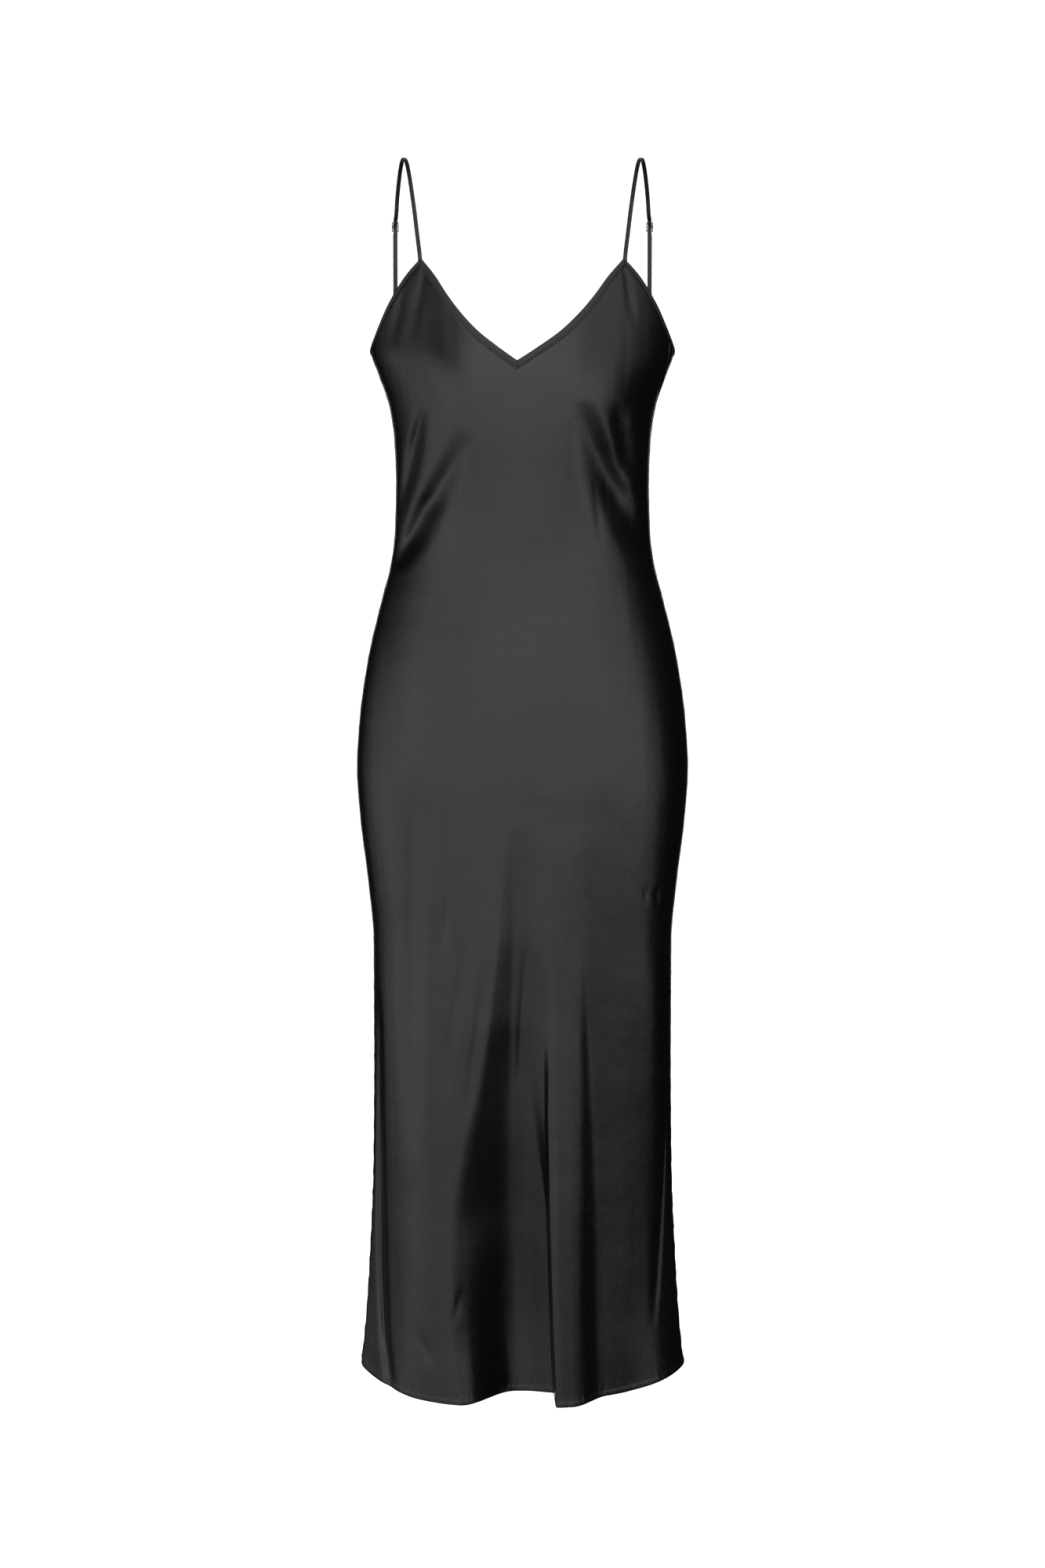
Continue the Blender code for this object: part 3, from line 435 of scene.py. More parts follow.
def top_edge(angle):
    angle = (np.asarray(angle, float) + 180) % 360 - 180
    a = np.abs(angle)
    t = np.abs(angle - V_ANGLE) / (APEX_ANGLE - V_ANGLE * np.sign(angle - V_ANGLE))
    neck = smooth(NECKLINE, "z", np.clip(t, 0, 1), key="t")
    arm = smooth(ARMHOLE, "z", a, key="angle")
    back = smooth(BACK_TOP, "z", a, key="angle")
    return np.where(a < APEX_ANGLE, neck, np.where(a < BACK_POINT_ANGLE, arm, back))


def hem_edge(angle):
    return HEM_AT_SIDES - HEM_DROP * np.abs(np.cos(np.radians(angle))) ** 0.8


def seam_angle(side, z):
    return smooth(SIDE_SEAM, "right" if side > 0 else "left", z)


# ================================================================== mesh helpers
def make(name, points, faces, material, uv=None, smooth_shade=True):
    mesh = bpy.data.meshes.new(name)
    mesh.from_pydata(np.asarray(points, float).tolist(), [], faces)
    mesh.update()
    if uv is not None:
        layer = mesh.uv_layers.new(name="UVMap")
        loops = np.zeros(len(mesh.loops), np.int32)
        mesh.loops.foreach_get("vertex_index", loops)
        layer.data.foreach_set("uv", np.asarray(uv, np.float32)[loops].ravel())
    obj = bpy.data.objects.new(name, mesh)
    scene.collection.objects.link(obj)
    mesh.materials.append(material)
    if smooth_shade:
        mesh.shade_smooth()
    return obj


def grid_faces(across, down, start=0, flip=False):
    i, j = np.meshgrid(np.arange(across - 1), np.arange(down - 1), indexing="ij")
    a = start + i * down + j
    quads = np.stack([a, a + 1, a + down + 1, a + down], -1).reshape(-1, 4)
    return (quads[:, ::-1] if flip else quads).tolist()


def wall(name, middle, normal, half, uv, material):
    """A closed thin shell over a grid of points, column by row."""
    across, down = middle.shape[:2]
    outer = middle + normal * half[..., None]
    inner = middle - normal * half[..., None]
    n = across * down
    faces = grid_faces(across, down) + grid_faces(across, down, n, flip=True)
    for i in range(across - 1):
        a, b = i * down, (i + 1) * down
        faces.append((b, n + b, n + a, a))
        a, b = a + down - 1, b + down - 1
        faces.append((a, n + a, n + b, b))
    for j in range(down - 1):
        a, b = j, j + 1
        faces.append((a, n + a, n + b, b))
        a, b = (across - 1) * down + j, (across - 1) * down + j + 1
        faces.append((b, n + b, n + a, a))
    points = np.concatenate([outer.reshape(-1, 3), inner.reshape(-1, 3)])
    return make(name, points, faces, material, np.concatenate([uv.reshape(-1, 2)] * 2))


def loft(name, rings, material, uv=None, closed=False):
    """A skin through rings of points, with flat ends or closed on itself."""
    rings = np.asarray(rings, float)
    count, around = rings.shape[:2]
    i, k = np.meshgrid(np.arange(count if closed else count - 1), np.arange(around), indexing="ij")
    after, beside = (i + 1) % count, (k + 1) % around
    faces = np.stack([i * around + k, i * around + beside, after * around + beside,
                      after * around + k], -1).reshape(-1, 4).tolist()
    if not closed:
        faces.append(list(range(around))[::-1])
        faces.append([(count - 1) * around + k for k in range(around)])
    obj = make(name, rings.reshape(-1, 3), faces, material, uv)
    fix_out(obj)
    return obj


def fix_out(obj):
    mesh = obj.data
    mesh.calc_loop_triangles()
    co = np.zeros(len(mesh.vertices) * 3)
    mesh.vertices.foreach_get("co", co)
    co = co.reshape(-1, 3)
    tri = np.zeros(len(mesh.loop_triangles) * 3, np.int32)
    mesh.loop_triangles.foreach_get("vertices", tri)
    a, b, c = (co[tri.reshape(-1, 3)[:, k]] for k in range(3))
    if np.einsum("ij,ij->i", a, np.cross(b, c)).sum() < 0:
        mesh.flip_normals()


def unit(v):
    v = np.asarray(v, float)
    return v / np.linalg.norm(v, axis=-1, keepdims=True)


# ===================================================================== materials
def nodes_of(name):
    m = bpy.data.materials.new(name)
    m.use_nodes = True
    t = m.node_tree
    return m, t, t.nodes["Principled BSDF"]


def add(tree, kind, links=(), **values):
    node = tree.nodes.new(kind)
    for key, value in values.items():
        if key.startswith("in_"):
            node.inputs[int(key[3:]) if key[3:].isdigit() else key[3:].replace("_", " ")].default_value = value
        else:
            setattr(node, key, value)
    for source, socket in links:
        tree.links.new(source, node.inputs[socket])
    return node


def cloth_material(name, colour, roughness, weave=0.00035, weave_depth=0.00003,
                   wrinkle=0.00025, bias=math.radians(45), streak=0.00012, sheen=0.0,
                   variation=0.12):
    """Satin: fine slanted threads, soft uneven wrinkles, slight changes of colour at random, and painted shade
    and highlight on its threads.
    """
    m, t, shader = nodes_of(name)
    uv = add(t, "ShaderNodeUVMap", uv_map="UVMap")
    place = add(t, "ShaderNodeTexCoord")
    turned = add(t, "ShaderNodeMapping", [(uv.outputs["UV"], "Vector")])
    turned.inputs["Rotation"].default_value = (0, 0, bias)
    threads = add(t, "ShaderNodeTexWave", [(turned.outputs["Vector"], "Vector")],
                  wave_type="BANDS", bands_direction="X", wave_profile="SIN")
    threads.inputs["Scale"].default_value = 1.0 / weave / 3.1831 / 2
    threads.inputs["Distortion"].default_value = 1.6
    threads.inputs["Detail"].default_value = 2.0
    threads.inputs["Detail Scale"].default_value = 1.2
    # broad softness of worn cloth
    broad = add(t, "ShaderNodeTexNoise", [(place.outputs["Object"], "Vector")])
    broad.inputs["Scale"].default_value = 17.0
    broad.inputs["Detail"].default_value = 2.0
    broad.inputs["Roughness"].default_value = 0.45
    tall = add(t, "ShaderNodeMapping", [(place.outputs["Object"], "Vector")])
    tall.inputs["Scale"].default_value = (60.0, 60.0, 7.0)
    streaks = add(t, "ShaderNodeTexNoise", [(tall.outputs["Vector"], "Vector")])
    streaks.inputs["Scale"].default_value = 1.0
    streaks.inputs["Detail"].default_value = 1.0
    fine = add(t, "ShaderNodeTexNoise", [(place.outputs["Object"], "Vector")])
    fine.inputs["Scale"].default_value = 420.0
    fine.inputs["Detail"].default_value = 1.0

    def bump(height, distance, before=None):
        b = add(t, "ShaderNodeBump", [(height, "Height")])
        b.inputs["Strength"].default_value = 1.0
        b.inputs["Distance"].default_value = distance
        if before is not None:
            t.links.new(before.outputs["Normal"], b.inputs["Normal"])
        return b

    b = bump(broad.outputs[0], wrinkle * 4)
    b = bump(streaks.outputs[0], streak * 4, b)
    b = bump(fine.outputs[0], 0.00003, b)
    b = bump(threads.outputs["Fac"] if "Fac" in threads.outputs else threads.outputs[1], weave_depth, b)
    t.links.new(b.outputs["Normal"], shader.inputs["Normal"])
    # colour: a little uneven at random, and a little lighter where the threads rise, which is painted
    # highlight on the thread tops and painted shade between them
    ramp = add(t, "ShaderNodeMapRange", [(broad.outputs[0], "Value")])
    ramp.inputs["From Min"].default_value = 0.3
    ramp.inputs["From Max"].default_value = 0.7
    ramp.inputs["To Min"].default_value = 1 - variation
    ramp.inputs["To Max"].default_value = 1 + variation
    painted_thread_shade = add(t, "ShaderNodeMapRange", [(threads.outputs[1], "Value")])
    painted_thread_shade.inputs["To Min"].default_value = 0.86
    painted_thread_shade.inputs["To Max"].default_value = 1.12
    times = add(t, "ShaderNodeMath", [(ramp.outputs[0], 0), (painted_thread_shade.outputs[0], 1)], operation="MULTIPLY")
    tint = add(t, "ShaderNodeMix", data_type="RGBA", blend_type="MULTIPLY")
    tint.inputs[0].default_value = 1.0
    tint.inputs[6].default_value = (*colour, 1)
    t.links.new(times.outputs[0], tint.inputs[7])
    t.links.new(tint.outputs[2], shader.inputs["Base Color"])
    rough = add(t, "ShaderNodeMapRange", [(fine.outputs[0], "Value")])
    rough.inputs["To Min"].default_value = roughness - 0.05
    rough.inputs["To Max"].default_value = roughness + 0.05
    t.links.new(rough.outputs[0], shader.inputs["Roughness"])
    shader.inputs["IOR"].default_value = 1.5
    shader.inputs["Specular IOR Level"].default_value = 0.5
    shader.inputs["Sheen Weight"].default_value = sheen
    shader.inputs["Sheen Roughness"].default_value = 0.4
    shader.inputs["Anisotropic"].default_value = 0.0
    return m


SATIN = cloth_material("black_satin", (0.0022, 0.0022, 0.0024), 0.28)
# the binding's base colour is lighter than the panels' satin: painted light, so that the binding shows as a
# brighter, lit band
BIND_PAINTED_LIGHTER = cloth_material("binding_satin", (0.005, 0.005, 0.0052), 0.50, wrinkle=0.0001,
                      streak=0.00002, bias=0.0)
STRAP = cloth_material("strap_satin", (0.007, 0.007, 0.0073), 0.42, wrinkle=0.00005,
                       streak=0.0, bias=0.0)


def thread_material():
    m, t, shader = nodes_of("black_thread")
    place = add(t, "ShaderNodeTexCoord")
    ply = add(t, "ShaderNodeTexWave", [(place.outputs["Object"], "Vector")], wave_type="BANDS",
              bands_direction="DIAGONAL")
    ply.inputs["Scale"].default_value = 900
    b = add(t, "ShaderNodeBump", [(ply.outputs[1], "Height")])
    b.inputs["Distance"].default_value = 0.00005
    t.links.new(b.outputs["Normal"], shader.inputs["Normal"])
    # the colour follows the ply bands of the bump: painted shade in the grooves between the twists, painted
    # highlight on their ridges
    painted_thread_shade = add(t, "ShaderNodeMapRange", [(ply.outputs[1], "Value")])
    painted_thread_shade.inputs["To Min"].default_value = 0.010
    painted_thread_shade.inputs["To Max"].default_value = 0.022
    join = add(t, "ShaderNodeCombineColor")
    for k in range(3):
        t.links.new(painted_thread_shade.outputs[0], join.inputs[k])
    t.links.new(join.outputs[0], shader.inputs["Base Color"])
    shader.inputs["Roughness"].default_value = 0.45
    return m


THREAD = thread_material()


def enamel_material():
    m, t, shader = nodes_of("black_enamel")
    place = add(t, "ShaderNodeTexCoord")
    grain = add(t, "ShaderNodeTexNoise", [(place.outputs["Object"], "Vector")])
    grain.inputs["Scale"].default_value = 900
    grain.inputs["Detail"].default_value = 3
    b = add(t, "ShaderNodeBump", [(grain.outputs[0], "Height")])
    b.inputs["Distance"].default_value = 0.00003
    t.links.new(b.outputs["Normal"], shader.inputs["Normal"])
    rough = add(t, "ShaderNodeMapRange", [(grain.outputs[0], "Value")])
    rough.inputs["To Min"].default_value = 0.22
    rough.inputs["To Max"].default_value = 0.38
    t.links.new(rough.outputs[0], shader.inputs["Roughness"])
    worn = add(t, "ShaderNodeMapRange", [(grain.outputs[0], "Value")])
    worn.inputs["To Min"].default_value = 0.006
    worn.inputs["To Max"].default_value = 0.012
    join = add(t, "ShaderNodeCombineColor")
    for k in range(3):
        t.links.new(worn.outputs[0], join.inputs[k])
    t.links.new(join.outputs[0], shader.inputs["Base Color"])
    shader.inputs["Coat Weight"].default_value = 0.4
    return m


ENAMEL = enamel_material()

# ======================================================================= panels
CLOTH = 0.0005
SEAM_TUCK = 0.0009   # how far a seam pulls the cloth in


def columns(panel, cells, z):
    z = np.asarray(z, float)
    left, right = seam_angle(-1, z), seam_angle(1, z)
    if panel == "front":
        ends = [-left, -APEX_ANGLE, V_ANGLE, APEX_ANGLE, right]
    else:
        ends = [right, BACK_POINT_ANGLE, 180.0, 360 - BACK_POINT_ANGLE, 360 - left]
    ends = [end + 0 * z for end in ends]
    # columns lie closer together where the cloth bends most
    made = []
    for a, b, n in zip(ends, ends[1:], cells):
        s = np.linspace(0, 1, 121)[:, None]
        angle = a + (b - a) * s
        point = tube(angle, z[None, :] + 0 * angle, detail=True)
        step = np.linalg.norm(np.diff(point, axis=0), axis=-1)
        bend = np.abs(np.diff(unit(np.diff(point[..., :2], axis=0)), axis=0)).sum(-1)
        bend = np.concatenate([bend[:1], bend, bend[-1:]])[:-1]
        weight = step + 0.018 * np.minimum(bend, 0.25)
        for _ in range(3):
            weight = (np.roll(weight, 1, 0) + weight + np.roll(weight, -1, 0)) / 3
        run = np.concatenate([np.zeros((1, weight.shape[1])), np.cumsum(weight, 0)])
        run = run / run[-1]
        share = np.stack([
            np.interp(np.arange(n) / n, run[:, k], s[:, 0]) for k in range(run.shape[1])
        ], -1)
        share = 0.75 * share + 0.25 * (np.arange(n) / n)[:, None]
        made.append(a + (b - a) * share)
    return np.concatenate([*made, ends[-1][None]])


def panel(name, which, cells, rows, material):
    count = sum(cells) + 1
    # the columns' places at each share of the height; tops follow the cut edge
    tops = np.full(count, -0.2)
    for _ in range(5):
        tops = top_edge(np.diagonal(columns(which, cells, tops)))
    low_angle = columns(which, cells, np.array([HEM_AT_SIDES]))[:, 0]
    lows = hem_edge(low_angle)
    z = tops[:, None] + (lows - tops)[:, None] * rows[None, :]
    # angles: interpolate a table of columns against height
    table_z = np.linspace(-0.100, -1.256, 260)
    table = columns(which, cells, table_z)
    angle = np.stack([np.interp(-z[i], -table_z, table[i]) for i in range(count)])
    middle = tube(angle, z)
    normal = outward(angle, z)
    # the seams pull in
    for side in (0, -1):
        gap = np.linalg.norm(middle - middle[side], axis=-1)
        pull = SEAM_TUCK * np.exp(-((gap / 0.0022) ** 2))
        down = np.concatenate([[0], np.cumsum(np.linalg.norm(np.diff(middle[side], axis=0), axis=-1))])
        gather = 0.00035 * (np.sin(down * 260) + 0.6 * np.sin(down * 611 + 1)) * np.exp(-((gap / 0.006) ** 2))
        middle = middle - normal * (pull - gather)[..., None]
    half = np.full(z.shape, CLOTH / 2)
    # it dips where it goes in under the bindings
    below = tops[:, None] - z
    edge_angle = angle[:, :1]
    wide = np.where(np.abs((edge_angle + 180) % 360 - 180) < APEX_ANGLE, NECK_WIDTH, ARM_WIDTH) * 1.18
    middle = middle - normal * (0.00055 * np.exp(-(((below - wide - 0.0006) / 0.0012) ** 2)))[..., None]
    # the turned hem is two layers thick, with a groove where it is stitched
    up = z - lows[:, None]
    hem = 1 - ease((up - 0.0068) / 0.0010)
    half = half + 0.00035 * hem
    across = np.concatenate([[0], np.cumsum(np.linalg.norm(np.diff(middle[:, -1], axis=0), axis=-1))])
    groove = 0.0004 * np.exp(-(((up - 0.0064) / 0.0009) ** 2))
    pucker = np.exp(-(((up - 0.0064) / 0.0045) ** 2)) * 0.00025 * (
        np.sin(across * 900)[:, None] + 0.7 * np.sin(across * 517 + 2)[:, None])
    middle = middle - normal * (groove - pucker)[..., None]
    du = np.linalg.norm(np.diff(middle, axis=0), axis=-1)
    u = np.concatenate([np.zeros((1, z.shape[1])), np.cumsum(du, 0)])
    u = u - u[count // 2]
    uv = np.stack([u, z], -1)
    obj = wall(name, middle, normal, half, uv, material)
    return obj, middle, normal


def shares(top, count, power=1.25):
    """Shares of the height, closer together at the top, and again in the hem."""
    a = np.linspace(0, 1, count) ** power * 0.990
    return np.concatenate([a, np.array([0.9925, 0.9935, 0.9945, 0.9960, 0.9975, 0.9988, 1.0])])


front, front_mid, front_n = panel("satin_front", "front", (34, 50, 72, 36), shares(0, 232), SATIN)
back, back_mid, back_n = panel("satin_back", "back", (26, 44, 44, 26), shares(0, 205), SATIN)
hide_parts("front_panel")
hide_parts("back_panel")


# ===================================================================== bindings
def edge_walk(start, stop, step):
    """Angles along the cut edge, evenly spaced along it."""
    a = np.linspace(start, stop, 800)
    p = tube(a, top_edge(a))
    run = np.concatenate([[0], np.cumsum(np.linalg.norm(np.diff(p, axis=0), axis=-1))])
    count = max(4, int(round(run[-1] / step)))
    return np.interp(np.linspace(0, run[-1], count + 1), run, a), np.linspace(0, run[-1], count + 1)


# across a binding: share of its width down from the fold, and height off the cloth
Across = namedtuple("Across", "down off")
BINDING_SECTION = [
    Across(-0.090, 0.00), Across(-0.075, 0.60), Across(-0.020, 1.00), Across(0.060, 1.16),
    Across(0.300, 1.28), Across(0.560, 1.20), Across(0.720, 1.02), Across(0.780, 0.60),
    Across(0.850, 0.56), Across(0.900, 0.86), Across(0.965, 0.74), Across(1.000, 0.20),
]


def one_sided_edge(a, lo, hi):
    """The cut edge's point, kept on one side of a corner."""
    inner = np.clip(a, lo + 1e-4, hi - 1e-4)
    return tube(inner, top_edge(inner))


def bind(name, lo, hi, width, step=0.0016, seed=0):
    angle, run = edge_walk(lo, hi, step)
    inner = np.clip(angle, lo + 1e-4, hi - 1e-4)
    z = top_edge(inner)
    p = tube(inner, z)
    n = outward(inner, z - 0.002, detail=True)
    d = 0.12
    ahead = one_sided_edge(inner + d, lo, hi) - one_sided_edge(inner - d, lo, hi)
    ahead = unit(ahead)
    below = unit(tube(inner, z - 0.004) - tube(inner, z))
    sine = np.sqrt(np.maximum(0.1, 1 - np.einsum("ij,ij->i", below, ahead) ** 2))
    wob = 0.5 * np.sin(run * 410 + seed) + 0.3 * np.sin(run * 733 + 2 * seed) + 0.2 * np.sin(run * 180)
    half = [(a.down, a.off) for a in BINDING_SECTION]
    loop = half + [(q, -o) for q, o in reversed(half[1:])]
    rings, uvs = [], []
    for q, off in loop:
        down = q * width * (1 + 0.03 * wob * max(q, 0)) / sine
        base = tube(inner, z - np.maximum(down, 0)) + below * np.minimum(down, 0)[:, None]
        lift = 0.00095 + 0.00010 * wob * math.sin(max(q, 0) * math.pi)
        rings.append(base + n * (off * lift)[:, None])
        uvs.append(np.stack([run, q * width + 0 * run], -1))
    rings = np.stack(rings, axis=1)
    obj = loft(name, rings, BIND_PAINTED_LIGHTER, np.stack(uvs, axis=1).reshape(-1, 2))
    return obj, (inner, z, n, ahead, below, sine, run)


def ride(obj, slot, *nodes):
    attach(obj, "root")
    if nodes:
        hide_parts(*nodes)
    return obj


neck_l, info_nl = bind("neck_binding_l", -APEX_ANGLE, V_ANGLE, NECK_WIDTH, seed=1)
neck_r, info_nr = bind("neck_binding_r", V_ANGLE, APEX_ANGLE, NECK_WIDTH, seed=2)
arm_r, info_ar = bind("armhole_binding_r", APEX_ANGLE, BACK_POINT_ANGLE, ARM_WIDTH, seed=3)
arm_l, info_al = bind("armhole_binding_l", -BACK_POINT_ANGLE, -APEX_ANGLE, ARM_WIDTH, seed=4)
back_top, info_b = bind("back_neck_binding_b", BACK_POINT_ANGLE, 360 - BACK_POINT_ANGLE, ARM_WIDTH, seed=5)


# ======================================================================= stitches
def stitch_line(name, places, tangents, normals, pitch, length, radius):
    """A row of small rounded stitches along a line of points."""
    run = np.concatenate([[0], np.cumsum(np.linalg.norm(np.diff(places, axis=0), axis=-1))])
    count = int(run[-1] / pitch)
    points, faces = [], []
    start = 0
    for k in range(count):
        s = (k + 0.5) * run[-1] / count
        p = np.array([np.interp(s, run, places[:, c]) for c in range(3)])
        n = unit([np.interp(s, run, normals[:, c]) for c in range(3)])
        t = unit([np.interp(s, run, tangents[:, c]) for c in range(3)])
        b = np.cross(n, t)
        tilt = 0.06 * math.sin(k * 2.4)
        t = unit(t + b * tilt)
        b = np.cross(n, t)
        prof = [(-0.5, 0.15), (-0.36, 0.8), (0.0, 1.0), (0.36, 0.8), (0.5, 0.15)]
        for q, r in prof:
            for m in range(6):
                a = m * math.pi / 3
                points.append(p + t * q * length + b * math.cos(a) * radius * r
                              + n * (math.sin(a) * radius * r + radius * 0.25))
        for i in range(4):
            for m in range(6):
                a0 = start + i * 6 + m
                a1 = start + i * 6 + (m + 1) % 6
                faces.append((a0, a1, a1 + 6, a0 + 6))
        faces.append(tuple(start + m for m in range(6))[::-1])
        faces.append(tuple(start + 24 + m for m in range(6)))
        start += 30
    obj = make(name, points, faces, THREAD)
    fix_out(obj)
    return obj


def binding_stitches(name, info, width, at=0.85):
    inner, z, n, ahead, below, sine, run = info
    down = at * width / sine
    p = tube(inner, z - down) + n * (0.00095 * 0.62)
    return stitch_line(name, p, ahead, n, 0.0021, 0.0016, 0.00017)


threads = [
    binding_stitches("stitching_neck_l", info_nl, NECK_WIDTH),
    binding_stitches("stitching_neck_r", info_nr, NECK_WIDTH),
    binding_stitches("stitching_arm_r", info_ar, ARM_WIDTH, 0.80),
    binding_stitches("stitching_arm_l", info_al, ARM_WIDTH, 0.80),
    binding_stitches("stitching_back", info_b, ARM_WIDTH, 0.80),
]


def hem_stitches(name, mid, nor):
    j = -4
    # the row of the groove is the one nearest to 6.4 mm above the edge
    up = np.linalg.norm(mid - mid[:, -1:], axis=-1)
    rows = np.argmin(np.abs(up - 0.0064), axis=1)
    idx = np.arange(len(mid))
    p, n = mid[idx, rows], nor[idx, rows]
    t = unit(np.gradient(p, axis=0))
    return stitch_line(name, p + n * 0.00045, t, n, 0.0028, 0.0021, 0.00018)


threads += [hem_stitches("stitching_hem_front", front_mid, front_n),
            hem_stitches("stitching_hem_back", back_mid, back_n)]

# ======================================================================== straps
STRAP_WIDTH, STRAP_THICKNESS = 0.0042, 0.0011
SHOULDER_X, STRAP_SLANT, SLIDER_Z = 0.1180, 0.217, -0.0655
BAR, SLIDER_WIDTH, SLIDER_HEIGHT = 0.0009, 0.0070, 0.0094
RING_RADIUS, RING_WIRE, RING_TOP_Z = 0.0046, 0.0007, -0.1475
StrapPoint = namedtuple("StrapPoint", "p z")
STRAP_RUN = [
    StrapPoint(-0.0858, -0.1052), StrapPoint(-0.0850, -0.1012), StrapPoint(-0.0785, -0.0900),
    StrapPoint(-0.0700, -0.0770), StrapPoint(-0.0580, -0.0580),
    StrapPoint(-0.0460, -0.0410), StrapPoint(-0.0340, -0.0255),
    StrapPoint(-0.0220, -0.0125), StrapPoint(-0.0110, -0.0040),
    StrapPoint(0.0000, -0.0005), StrapPoint(0.0110, -0.0030),
    StrapPoint(0.0210, -0.0105), StrapPoint(0.0310, -0.0230),
    StrapPoint(0.0400, -0.0380), StrapPoint(0.0465, -0.0540),
]
run_scale = math.hypot(1.0, STRAP_SLANT)


def strap_frame(side):
    ahead = np.array([side * STRAP_SLANT, 1.0, 0.0]) / run_scale
    width = np.array([1.0, -side * STRAP_SLANT, 0.0]) / run_scale

    def along(p, z, w):
        return np.array([side * SHOULDER_X, 0.0, z]) + ahead * p + width * w

    return along


def rounded(points, per=6):
    """A smooth curve through points (centripetal)."""
    pts = np.array(points, float)
    pts = np.concatenate([[2 * pts[0] - pts[1]], pts, [2 * pts[-1] - pts[-2]]])
    out = []
    for i in range(1, len(pts) - 2):
        p0, p1, p2, p3 = pts[i - 1:i + 3]
        t0 = 0.0
        t1 = t0 + np.linalg.norm(p1 - p0) ** 0.5
        t2 = t1 + np.linalg.norm(p2 - p1) ** 0.5
        t3 = t2 + np.linalg.norm(p3 - p2) ** 0.5
        count = max(2, min(10, int(np.linalg.norm(p2 - p1) / 0.0012)))
        for t in np.linspace(t1, t2, count, endpoint=False):
            a1 = (t1 - t) / (t1 - t0) * p0 + (t - t0) / (t1 - t0) * p1
            a2 = (t2 - t) / (t2 - t1) * p1 + (t - t1) / (t2 - t1) * p2
            a3 = (t3 - t) / (t3 - t2) * p2 + (t - t2) / (t3 - t2) * p3
            b1 = (t2 - t) / (t2 - t0) * a1 + (t - t0) / (t2 - t0) * a2
            b2 = (t3 - t) / (t3 - t1) * a2 + (t - t1) / (t3 - t1) * a3
            out.append((t2 - t) / (t2 - t1) * b1 + (t - t1) / (t2 - t1) * b2)
    out.append(pts[-2])
    return np.array(out)


def flat_tube(name, path, width, thickness, along, material, soft=0.5):
    """A pressed tube of cloth along a path in a vertical plane, with a soft seam line."""
    path = np.array(path)
    t = unit(np.gradient(path, axis=0))
    off = np.stack([-t[:, 1], t[:, 0]], -1)
    run = np.concatenate([[0], np.cumsum(np.linalg.norm(np.diff(path, axis=0), axis=-1))])
    shape = []
    for k in range(20):
        a = k / 20 * 2 * math.pi
        c, s = math.cos(a), math.sin(a)
        w = math.copysign(abs(c) ** 0.55, c)
        h = math.copysign(abs(s) ** 0.80, s)
        shape.append((w, h))
    rings, uvs = [], []
    for i, (p, z) in enumerate(path):
        wob = 0.05 * math.sin(run[i] * 700) + 0.04 * math.sin(run[i] * 1510 + 1)
        ring = []
        for k, (w, h) in enumerate(shape):
            hh = h * thickness / 2 * (1 + wob) * (1 - 0.18 * math.exp(-((abs(w) - 0.72) / 0.14) ** 2))
            ring.append(along(p + off[i, 0] * hh, z + off[i, 1] * hh, w * width / 2 * (1 + 0.4 * wob)))
            uvs.append((run[i], w * width / 2))
        rings.append(ring)
    return loft(name, rings, material, uvs)


def arc(centre, radius, start, stop, steps):
    return [(centre[0] + radius * math.cos(math.radians(a)), centre[1] + radius * math.sin(math.radians(a)))
            for a in np.linspace(start, stop, steps + 1)]


def torus(name, centre, axis, radius, wire, material, around=48, tube_steps=14):
    axis = unit(axis)
    u = unit(np.cross(axis, (0, 0, 1)))
    v = np.cross(u, axis)
    rings = []
    for a in np.linspace(0, 2 * math.pi, around + 1)[:-1]:
        radial = u * math.cos(a) + v * math.sin(a)
        rings.append([centre + radial * (radius + wire * math.cos(b)) + axis * wire * math.sin(b)
                      for b in np.linspace(0, 2 * math.pi, tube_steps + 1)[:-1]])
    return loft(name, rings, material, closed=True)


def slider_mesh(name, centre, along, material):
    """A rounded frame with a middle bar."""
    half_w, half_h = SLIDER_WIDTH / 2, SLIDER_HEIGHT / 2
    xs = [-half_w, -half_w + BAR, half_w - BAR, half_w]
    zs = [-half_h, -half_h + BAR, -BAR / 2, BAR / 2, half_h - BAR, half_h]
    points, faces = [], []
    for depth in (-BAR / 2, BAR / 2):
        for z in zs:
            for w in xs:
                points.append(along(centre[0] + depth, centre[1] + z, w))
    layer = len(xs) * len(zs)

    def at(level, row, column):
        return level * layer + row * len(xs) + column

    solid = {(r, c): not (r in (1, 3) and c == 1) for r in range(5) for c in range(3)}
    for (r, c), filled in solid.items():
        if not filled:
            continue
        faces.append((at(0, r, c), at(0, r, c + 1), at(0, r + 1, c + 1), at(0, r + 1, c)))
        faces.append((at(1, r, c), at(1, r + 1, c), at(1, r + 1, c + 1), at(1, r, c + 1)))
        for (dr, dc), (p, q) in {
            (-1, 0): ((r, c), (r, c + 1)), (1, 0): ((r + 1, c + 1), (r + 1, c)),
            (0, -1): ((r + 1, c), (r, c)), (0, 1): ((r, c + 1), (r + 1, c + 1)),
        }.items():
            if not solid.get((r + dr, c + dc), False):
                faces.append((at(0, *p), at(1, *p), at(1, *q), at(0, *q)))
    obj = make(name, points, faces, material)
    fix_out(obj)
    bevel = obj.modifiers.new("Bevel", "BEVEL")
    bevel.width, bevel.segments, bevel.limit_method = 0.00028, 4, "ANGLE"
    obj.modifiers.new("Normals", "WEIGHTED_NORMAL")
    return obj


